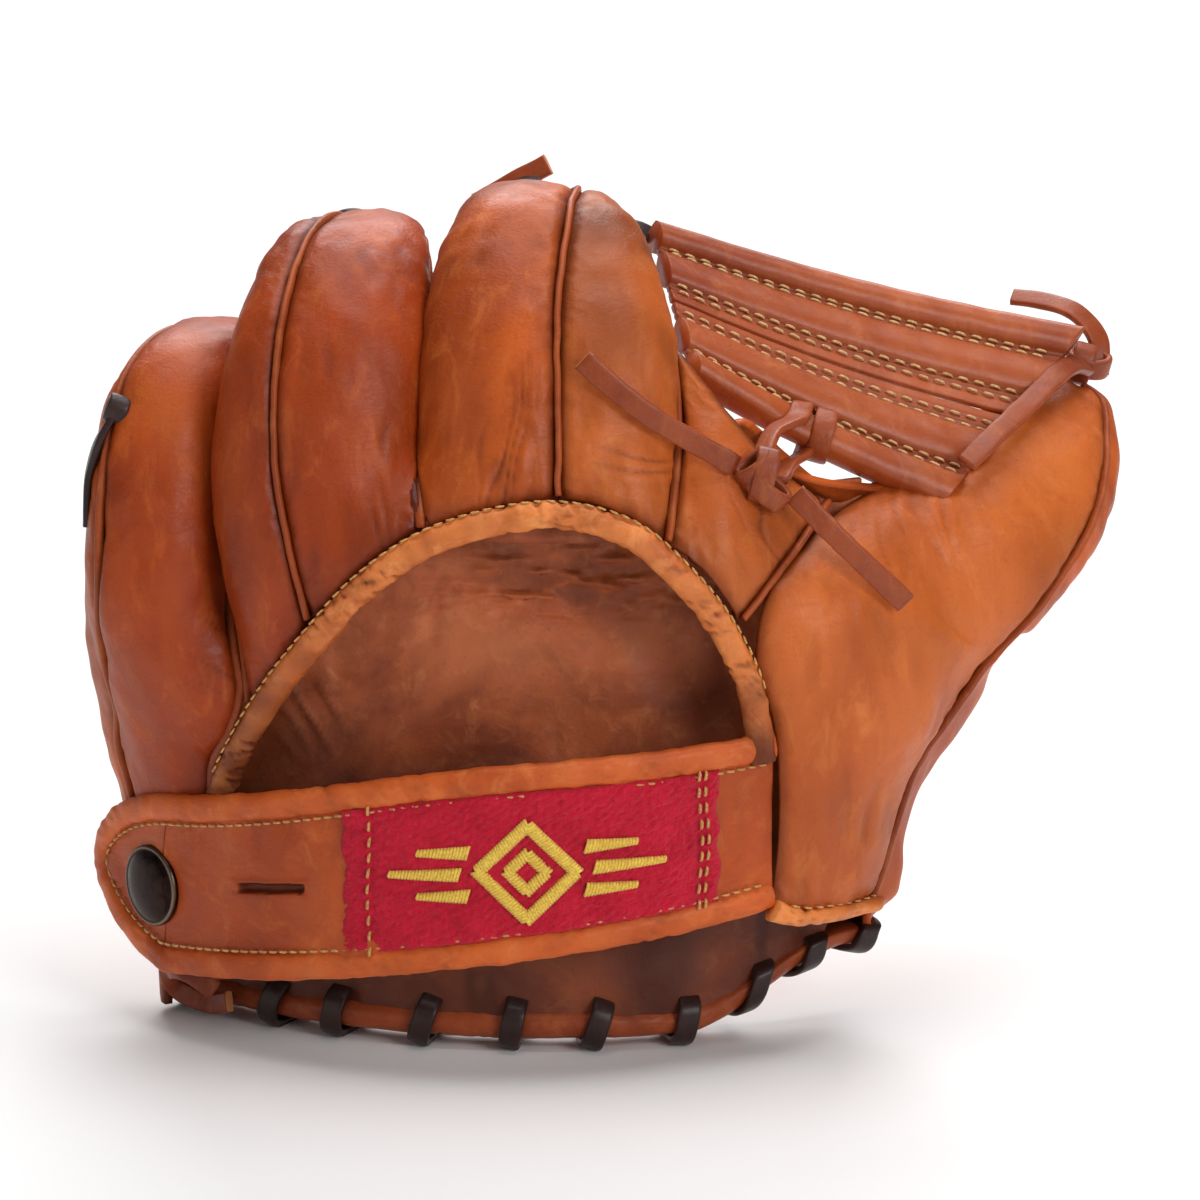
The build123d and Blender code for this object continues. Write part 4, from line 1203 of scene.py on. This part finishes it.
around = even(np.concatenate([opening_line[:1] + (-5, 2, -26), opening_line, [(50.8, -25, 92)]]), 260)
around = line(np.concatenate([around[:-10:20], around[-1:]]), 300)
OPENING_FACING = (0, -1.0, 0.2)
BINDING_INSET = 3.9
STITCHED = slice(30, 276)

inside = around + frames(around, OPENING_FACING)[1] * BINDING_INSET
binding_path = inside + (0, -0.8, 0)
placed(
    binding_piece("opening_binding", binding_path, OPENING_FACING, 8.0, 6.8, 101, 0.2, tone=low_tone), "hand",
    "rolled_binding", "opening_binding",
)
stitch_line = (around - 0.09 * (inside - around))[STITCHED] + (0, -2.4, 0.3)
opening_row = (stitch_line, OPENING_FACING)
placed(
    stitches("opening_stitches", [opening_row], GOLD_THREAD, pitch=3.6, length=2.7, thickness=0.7),
    "hand", "gold_thread",
)


# ------------------------------------------------------------ wrist strap


def on_strap(x, z, lift=0.0):
    """Point on the strap's curved surface, lifted off its leather."""
    x, z = np.broadcast_arrays(np.asarray(x, float), np.asarray(z, float))
    share = (x - STRAP_CENTRE[0]) / STRAP_OUTER
    radius = STRAP_OUTER + np.asarray(lift, float)
    return np.stack([
        STRAP_CENTRE[0] + share * radius,
        STRAP_CENTRE[1] - np.sqrt(1 - share**2) * radius,
        z + 0 * radius,
    ], axis=-1)


def strap_out(points):
    """Direction off the strap at points on it."""
    out = (points - (*STRAP_CENTRE, 0)) * (1, 1, 0)
    return out / np.linalg.norm(out, axis=-1, keepdims=True)


STRAP_ROOT = 50.0
STRAP_SHOULDER = -127.0
TIP_CENTRE = (-119.1, 45.25)
TIP_RADIUS = 27.9
# Heights of the strap's edges at three places along x
STRAP_PLACES = (-127, -50, 50)
STRAP_TOPS = (72, 91.5, 99.5)
STRAP_BOTTOMS = (18.5, 32.5, 46.5)
TIP_HALF_ANGLE = np.arcsin((STRAP_TOPS[0] - TIP_CENTRE[1]) / TIP_RADIUS)


def strap_top(x):
    """Height of the strap's upper edge at an x."""
    return curve_at(STRAP_PLACES, STRAP_TOPS, np.atleast_1d(x))


def strap_bottom(x):
    """Height of the strap's lower edge at an x."""
    return curve_at(STRAP_PLACES, STRAP_BOTTOMS, np.atleast_1d(x))


def strap_outline(inset, root=STRAP_ROOT):
    """Outline of the strap from its root along the top, round the tip and back below."""
    x = np.linspace(root, STRAP_SHOULDER, 60)
    turning = np.linspace(pi - TIP_HALF_ANGLE, pi + TIP_HALF_ANGLE, 40)[1:-1]
    top = np.stack([x, strap_top(x)], axis=1)
    tip = np.array(TIP_CENTRE) + TIP_RADIUS * np.stack([np.cos(turning), np.sin(turning)], axis=1)
    low = np.stack([x[::-1], strap_bottom(x[::-1])], axis=1)
    flat = np.concatenate([top, tip, low])
    round_strap = np.arcsin((flat[:, 0] - STRAP_CENTRE[0]) / STRAP_OUTER) * STRAP_OUTER
    spread = np.column_stack([round_strap, flat[:, 1]])
    way = np.gradient(spread, axis=0)
    way /= np.linalg.norm(way, axis=1, keepdims=True)
    spread += np.column_stack([-way[:, 1], way[:, 0]]) * inset
    return np.sin(spread[:, 0] / STRAP_OUTER) * STRAP_OUTER + STRAP_CENTRE[0], spread[:, 1]


def strap_grid(rings, columns, lift, inset=0.8):
    """Grid over the whole strap, its first ring at the tip and its last at the root."""
    angle = np.linspace(0.06, 1, 40) * TIP_HALF_ANGLE
    tip_x = TIP_CENTRE[0] - TIP_RADIUS * np.cos(angle)
    tip_high = TIP_CENTRE[1] + TIP_RADIUS * np.sin(angle)
    tip_low = TIP_CENTRE[1] - TIP_RADIUS * np.sin(angle)
    x = np.linspace(STRAP_SHOULDER, STRAP_ROOT, rings - 39)[1:]
    across = np.linspace(0, 1, columns)
    xs = np.concatenate([tip_x + inset, x])
    low = np.concatenate([tip_low, strap_bottom(x)]) + inset
    high = np.concatenate([tip_high, strap_top(x)]) - inset
    z = low[:, None] + (high - low)[:, None] * across
    return on_strap(np.broadcast_to(xs[:, None], z.shape), z, lift)


SLIT = (-95.0, 52.0)
SLIT_HALF = (9.8, 1.0)
SLIT_SLOPE = 0.18


def strap_relief(grid):
    """The slit's sunk opening and its raised lips."""
    x, z = grid[..., 0], grid[..., 2]
    long_share = np.clip(1 - (np.abs(x - SLIT[0]) / SLIT_HALF[0]) ** 6, 0, 1)
    apart = np.abs(z - SLIT[1] - SLIT_SLOPE * (x - SLIT[0]))
    slit = long_share * np.clip(1.6 - apart / SLIT_HALF[1], 0, 1)
    lip = (np.abs(x - SLIT[0]) < SLIT_HALF[0] + 1.5) * np.exp(-(((apart - 2.1) / 0.9) ** 2))
    # Painted shade: the slit, only a sunk groove, is painted dark like a hole, and the lips a little darker.
    return -2.2 * np.minimum(slit * 1.6, 1) + 0.35 * lip, -1.5 * (slit > 0.02) - 0.25 * lip


strap_face = strap_grid(330, 120, 0.0)
placed(
    stitched_panel("strap_panel", strap_face, BACK, STRAP_TAN, 111, NO_SEAMS, strap_relief, None, 0),
    "strap", "tan_leather", "strap_panel",
)
strap_lining = sheet("strap_lining", strap_grid(120, 30, -2.9), HAND_LINING, LINING, BACK)
placed(strap_lining, "strap", "lining_leather", "strap_lining")

outline_x, outline_z = strap_outline(3.7)
edge_path = on_strap(outline_x, outline_z, -1.1)
placed(
    binding_piece("strap_binding", edge_path, strap_out(edge_path), 8.1, 6.2, 121, 0.07, STRAP_ROLL),
    "strap", "rolled_binding", "strap_binding",
)
outline_x, outline_z = strap_outline(8.5, 46.0)
seam_path = on_strap(outline_x, outline_z, 0.5)
seam_row = (seam_path, strap_out(seam_path))
placed(
    stitches("strap_stitches", [seam_row], GOLD_THREAD, pitch=3.4, length=2.6, thickness=0.75),
    "strap", "gold_thread",
)

LABEL_X = (-74.0, 34.0)
LABEL_LIFT = 0.2


def label_grid(rings, columns, thickness):
    """Grid over the label between the strap's two stitch lines."""
    x = np.linspace(*LABEL_X, rings)
    low, high = strap_bottom(x) + 7.4, strap_top(x) - 7.4
    z = low[:, None] + (high - low)[:, None] * np.linspace(0, 1, columns)
    x = x[:, None] + 0.5 * waves(np.stack([0 * z, 0 * z, z], axis=-1), 9, 6)
    return on_strap(x, z, thickness)


def label_relief(grid):
    """Matted tufts, with the seams pressed in."""
    tufts = 0.22 * waves(grid, 2.6, 131) + 0.16 * waves(grid, 1.3, 132) + 0.25 * waves(grid, 16, 133)
    pressed = sum(np.exp(-(((grid[..., 0] - x) / 1.6) ** 2)) for x in (-66, 29))
    edge = np.minimum.reduce(edge_distances(grid))
    return tufts - 0.7 * pressed - 1.1 * np.exp(-edge / 0.8), -0.2 * pressed


label = label_grid(300, 130, LABEL_LIFT + 1.4)
out = normals(label, BACK)
lift, darker = label_relief(label)
label = label + out * lift[:, :, None]
placed(sheet("strap_label", label, CRIMSON, 1.5, BACK, darker), "strap", "label_felt", "strap_label")
label_seams = []
for x, wander in ((-66, 0.3), (28.2, 0.5), (30.0, 0.5)):
    z = np.linspace(strap_bottom(x)[0] + 8, strap_top(x)[0] - 8, 40)
    path = on_strap(x + wander * np.sin(z / 5), z, 2.0)
    label_seams.append((path, strap_out(path)))
placed(stitches("label_stitches", label_seams, GOLD_THREAD), "strap", "gold_thread")


def satin(start, end, width, end_width=None, pitch=0.85):
    """Satin stitches across a straight stroke on the label, in the strap's x and z."""
    start, end = np.asarray(start, float), np.asarray(end, float)
    along = end - start
    count = max(3, int(np.linalg.norm(along) / pitch))
    across = np.array((-along[1], along[0])) / np.linalg.norm(along)
    slanted = across + 0.35 * along / np.linalg.norm(along)
    parts = []
    for share in np.linspace(0, 1, count):
        wide = width + ((width if end_width is None else end_width) - width) * share
        middle = start + along * share
        places = middle + np.outer(np.linspace(-0.5, 0.5, 7), slanted * wide)
        lifts = LABEL_LIFT + 1.5 + 0.9 * (1 - np.abs(np.linspace(-1, 1, 7)) ** 3)
        path = on_strap(places[:, 0], places[:, 1], lifts)
        parts.append(band_data(path, strap_out(path), 1.05, 0.9, columns=6))
    return parts


EMBLEM = np.array((-21.0, 64.0))
motif = []
for size, width in ((14.1, 3.4), (5.6, 3.0)):
    corners = [EMBLEM + size * np.array(way) for way in ((1, 0), (0, 1), (-1, 0), (0, -1))]
    for first, second in zip(corners, corners[1:] + corners[:1]):
        motif += satin(first, second, width)
for side in (-1, 1):
    for drop, inner, outer in ((6.5, 17, 31), (0, 19.5, 39), (-6.5, 17, 31)):
        slope = 0.06 * side
        first = EMBLEM + (side * inner, drop + slope * inner)
        second = EMBLEM + (side * outer, drop + slope * outer)
        motif += satin(first, second, 3.8, 1.6)
emblem_points, emblem_faces = joined(motif)
emblem = mesh_piece("label_emblem", emblem_points, emblem_faces, YELLOW_SILK)
placed(emblem, "strap", "gold_thread", "label_emblem")


TURNED_COLUMNS = 72


def lathe(name, origin, axis, profile, material, shades):
    """Turned piece: radius and height pairs round an axis."""
    axis = np.array(axis, float) / np.linalg.norm(axis)
    first = np.cross(axis, (0, 0, 1.0))
    first /= np.linalg.norm(first)
    second = np.cross(axis, first)
    angles = np.linspace(0, 2 * pi, TURNED_COLUMNS, endpoint=False)
    ring = np.outer(np.cos(angles), first) + np.outer(np.sin(angles), second)
    points = np.concatenate([origin + axis * height + ring * radius for radius, height in profile])
    faces = quads(len(profile), TURNED_COLUMNS, wrap=True, flip=True)
    faces.append(list(range(TURNED_COLUMNS)))
    faces.append(list(range(len(points) - TURNED_COLUMNS, len(points)))[::-1])
    return mesh_piece(name, points, faces, material, np.repeat(shades, TURNED_COLUMNS))


snap_middle = on_strap(-130.0, 43.5, 0.0)
CAP_PROFILE = [
    (0.4, 3.1), (3.5, 3.05), (6.5, 2.8), (8.8, 2.3), (10.2, 1.75), (10.75, 1.35),
    (11.05, 1.5), (11.45, 1.55), (11.85, 1.2), (12.0, 0.6), (11.9, -0.3), (10.5, -0.6),
]
# Painted highlight on the cap's rim, brightest at its crest; the negative value in the groove leaves the
# bronze unchanged.
CAP_SHADES = [0, 0, 0, 0, 0, -0.5, 0.5, 1.0, 0.6, 0.2, 0, 0]
placed(
    lathe("snap_cap", snap_middle, strap_out(snap_middle), CAP_PROFILE, BRONZE, CAP_SHADES),
    "strap", "snap_bronze", "snap_cap",
)
for name in ("snap_socket", "snap_stud", "snap_post"):
    frame["nodes"][name].data.materials.clear()
    frame["nodes"][name].data.materials.append(BRONZE)


# ------------------------------------------------------------ hem at the thumb's heel

HEM = [(50, -26, 46), (58, -21.5, 41), (66, -13.5, 38), (73, -3.5, 35), (79.5, 7, 33), (80, 16, 30)]
HEM_FACING = (0.3, -1.0, 0.1)
# Samples of the hem that stay unstitched, clear of the strap's binding as it swings
HEM_CLEAR = 12

hem_path = line(HEM, 80)
placed(binding_piece("thumb_hem", hem_path, HEM_FACING, 7.0, 6.0, 141), "hand", "rolled_binding")
hem_stitch = hem_path[HEM_CLEAR:] + (0, -0.8, 4.6)
placed(stitches("hem_stitches", [(hem_stitch, HEM_FACING)], GOLD_THREAD), "hand", "gold_thread")


# ------------------------------------------------------------ heel binding and lace

HEEL_LOOPS_X = (-117, -91, -73, -49, -25, -2, 23, 43, 58, 72)
LOOP_HALF_DEPTH = 10.9
LOOP_MIDDLE_Z = 8.2
LOOP_HALF_HEIGHT = 7.0
LOOP_SQUARENESS = 0.7

heel_line = palm_row(7.6, 0.0, 1.0, SHELL_END / 2, 160)
placed(
    binding_piece("heel_binding", heel_line, (0, 0, 1), 17.7, 9.6, 151, 0.05, DARK_ROLL),
    "hand", "rolled_binding", "heel_binding",
)

heel_parts = []
for n, x in enumerate(HEEL_LOOPS_X):
    i = int(np.argmin(np.abs(heel_line[:, 0] - x)))
    centre = heel_line[i] * (1, 1, 0) + (0, 0, LOOP_MIDDLE_Z)
    ahead = heel_line[min(i + 3, len(heel_line) - 1)] - heel_line[max(i - 3, 0)]
    ahead /= np.linalg.norm(ahead)
    inward = np.cross((0, 0, 1), ahead)
    turned = np.linspace(0, 2 * pi, 48, endpoint=False)
    deep = powered(np.cos(turned), LOOP_SQUARENESS) * LOOP_HALF_DEPTH
    high = powered(np.sin(turned), LOOP_SQUARENESS) * LOOP_HALF_HEIGHT
    lean = (2.2 if n % 2 else 1.3) * high / LOOP_HALF_HEIGHT
    path = centre + np.outer(deep, inward) + np.outer(high, (0, 0, 1)) + np.outer(lean, ahead)
    heel_parts.append(lace_data(path, path - centre, closed=True))
running = palm_row(LOOP_MIDDLE_Z + 5, 0.03, 0.97, SHELL_END + 3.6, 90)
heel_parts.append(lace_data(running, np.gradient(running, axis=0)[:, [1, 0, 2]] * (-1, 1, 0)))
heel_points, heel_faces = joined(heel_parts)
placed(
    mesh_piece("heel_lace", heel_points, heel_faces, DARK_LACE, np.zeros(len(heel_points))),
    "hand", "lace_leather", "heel_lace",
)
loop = line([(-112, 8, 12), (-120, 10, 17), (-126, 20, 14), (-124, 24, 8), (-114, 18, 5), (-108, 10, 8)], 60)
placed(lace("heel_lace_loop", loop, (-0.3, -1, 0.3), RED_LACE, 6.0), "hand", "lace_leather")


# ------------------------------------------------------------ web

# Corners of the web's middle surface; rolls as place, half width and rise; seams as pairs of places
WEB_INDEX_TOP, WEB_INDEX_BOTTOM = np.array((15.0, 62, 228)), np.array((27.0, 17, 194))
WEB_THUMB_TOP, WEB_THUMB_BOTTOM = np.array((141.5, 80, 191.5)), np.array((99.0, 23, 154.5))
ROLLS = ((0.07, 0.075, 3.8), (0.285, 0.10, 2.8), (0.71, 0.10, 2.8), (0.925, 0.08, 4.0))
WEB_OUT = (0.3, -0.5, 0.8)
WEB_SEAMS = ((0.155, 0.19), (0.385, 0.43), (0.565, 0.61), (0.81, 0.85))


def web_points(along, across):
    """Points of the web's middle surface."""
    along, across = np.broadcast_arrays(along, across)
    top = WEB_INDEX_TOP + along[..., None] * (WEB_THUMB_TOP - WEB_INDEX_TOP)
    low = WEB_INDEX_BOTTOM + along[..., None] * (WEB_THUMB_BOTTOM - WEB_INDEX_BOTTOM)
    points = top + across[..., None] * (low - top)
    points[..., 2] -= 2.5 * np.sin(pi * along)
    return points


def web_height(along, across):
    """Height of the leather's face over the middle surface: rolls between flat seams."""
    height = 1.3 + 0 * along
    for middle, half, rise in ROLLS:
        height = height + rise * np.clip(1 - ((across - middle) / half) ** 2, 0, 1) ** 0.6
    for pair in WEB_SEAMS:
        for place in pair:
            height = height - 0.45 * np.exp(-(((across - place) / 0.012) ** 2))
    return height


def web_panel(name, first, last):
    """One folded web panel between two shares of the web's height."""
    along, across = np.meshgrid(np.linspace(0, 1, 200), np.linspace(first, last, 130), indexing="ij")
    middle = web_points(along, across)
    out = normals(middle, WEB_OUT)
    height = web_height(along, across)
    bottom_roll = np.clip((across - 0.86) / 0.02, 0, 1)
    height = height * (1 - 0.25 * bottom_roll * near(middle, (57, 30, 178), (10, 40, 40)))
    edge = np.minimum(across - first, last - across) / 0.006
    height = height * np.clip(edge, 0.12, 1) ** 0.5 + 0.10 * waves(middle, 14, 161)
    points, faces = shell(middle + out * height[:, :, None], middle - out * height[:, :, None], out)
    # Painted shade in the valleys along the seams between the rolls, on both faces.
    seams_near = sum(np.exp(-(((across - sum(pair) / 2) / 0.03) ** 2)) for pair in WEB_SEAMS)
    shade = -0.35 * seams_near
    return mesh_piece(name, points, faces, WEB_LEATHER, np.concatenate([shade.ravel(), shade.ravel()]))


def over_web(piece, slot, *nodes):
    """Bake a finished web piece's placement into its mesh, in place of its CAD nodes."""
    if nodes:
        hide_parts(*nodes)
    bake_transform(piece)


for name, first, last in (("web_upper_panel", 0.0, 0.493), ("web_lower_panel", 0.507, 1.0)):
    over_web(web_panel(name, first, last), "tan_leather", name)

web_rows = []
along = np.linspace(0.035, 0.945, 120)
for pair in WEB_SEAMS:
    for place in pair:
        across = np.full(120, place)
        middle = web_points(along, across)
        tangent = np.gradient(middle, axis=0)
        sideways = web_points(along, across + 0.01) - middle
        out = np.cross(tangent, sideways)
        out /= np.linalg.norm(out, axis=1, keepdims=True)
        out *= np.sign(out @ np.array(WEB_OUT))[:, None]
        path = middle + out * (web_height(along, across) + 0.45)[:, None]
        web_rows.append((path, out))
over_web(stitches("web_stitches", web_rows, TAN_THREAD, pitch=4.6, length=3.5, thickness=0.85), "gold_thread")


# ------------------------------------------------------------ knots and the other laces


def around_ring(centre, first, second, count=40):
    """Closed oval of points round a centre, spanned by two half axes."""
    turned = np.linspace(0, 2 * pi, count, endpoint=False)
    return centre + np.outer(np.cos(turned), first) + np.outer(np.sin(turned), second)


def knot_piece(name, rings, tails, body, material, *nodes):
    """Knot of closed lace rings, with its tails."""
    parts = []
    for centre, first, second in rings:
        path = around_ring(np.array(centre, float), first, second)
        parts.append(lace_data(path, path - np.array(centre, float), closed=True))
    for path, facing in tails:
        parts.append(lace_data(path, facing))
    points, faces = joined(parts)
    made = mesh_piece(name, points, faces, material, np.zeros(len(points)))
    return placed(made, body, "lace_leather", *nodes)


knot_low, knot_high = (np.array(corner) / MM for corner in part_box("web_base_knot"))
knot_at = (knot_low + knot_high) / 2
roll_at = web_points(np.array(0.42), np.array(0.93))
hitch = line([
    knot_at + (-1, 3, 4), knot_at + (3, 18, 9), roll_at + (-1, -6, 5), roll_at + (1, 4, 6),
    roll_at + (2, 7, -3), roll_at + (1, -3, -6), knot_at + (7, 18, -1), knot_at + (4, 4, -2),
], 120)
hitch_middle = hitch.mean(axis=0)
knot_piece(
    "web_base_knot",
    [
        (knot_at + (0, 0, 1), (0, 4.2, 0.5), (1.6, 0, 6.8)),
        (knot_at + (1, -0.5, -3), (1.0, 3.4, 0), (4.6, 0, -4.2)),
        (knot_at + (-2, 0, 3), (0, 3.2, 1.0), (4.4, 0, 3.0)),
    ],
    [(hitch, hitch - hitch_middle)],
    "hand", RED_LACE, "web_base_knot",
)
second_wrap = around_ring(roll_at + (6, 2.5, -2.6), np.array((0.8, 6.2, 2.0)), np.array((1.6, -2.0, 6.4)))
wrap_points, wrap_faces = lace_data(second_wrap, second_wrap - second_wrap.mean(axis=0), closed=True)
wrap = mesh_piece("web_roll_wrap", wrap_points, wrap_faces, RED_LACE, np.zeros(len(wrap_points)))
over_web(wrap, "lace_leather")

tip_path = line([
    (-117, 79, 185), (-100, 76, 192), (-88, 68, 216), (-72, 64, 230), (-60, 66, 223),
    (-48, 70, 209), (-38, 70, 222), (-28, 67, 236), (-17, 68, 240),
], 200)
placed(lace("finger_tip_lace", tip_path, (0, -0.6, 1), DARK_LACE), "hand", "lace_leather", "finger_tip_lace")
index_tip_path = line([(-36, 72, 232), (-26, 71, 238), (-15, 70, 244.5)], 40)
index_tip_lace = lace("index_tip_lace", index_tip_path, (0.1, -0.8, 0.6), RED_LACE)
placed(index_tip_lace, "hand", "lace_leather", "index_tip_lace")
web_index_path = line([(2, 62, 226), (9, 64, 227), (17, 65, 223)], 30)
web_index_lace = lace("web_index_lace", web_index_path, (0, -0.6, 1), DARK_LACE, 5.5)
placed(web_index_lace, "hand", "lace_leather", "web_index_lace")
knot_piece(
    "pinky_lace",
    [((-139.5, 10, 187), (0, 2.6, 0), (1.2, 0, 3.0))],
    [(line([(-140, 10, 186), (-144.5, 9, 178), (-147.5, 11, 168), (-148.5, 12, 152)], 50), (-1, 0, 0))],
    "hand", DARK_LACE, "pinky_lace",
)
free_tail = line([(146, 88, 176), (146, 91, 186), (140, 94, 193), (129, 98, 196), (121, 100, 196.5)], 70)
web_edge_tail = line([(142, 80, 181), (137.5, 69, 184), (123, 47, 177), (110, 27, 170), (106, 23, 167)], 60)
knot_piece(
    "thumb_tip_lace",
    [
        ((143, 87, 180), (0, 4.0, 1), (5.6, 1, -1.2)),
        ((141, 86, 180), (0, 3.4, 0), (1.5, 0, 5.0)),
    ],
    [(free_tail, (0.25, -0.5, 1)), (web_edge_tail, (-0.2, -1, 0.5))],
    "thumb", RED_LACE, "thumb_tip_lace",
)

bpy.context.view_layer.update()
import json
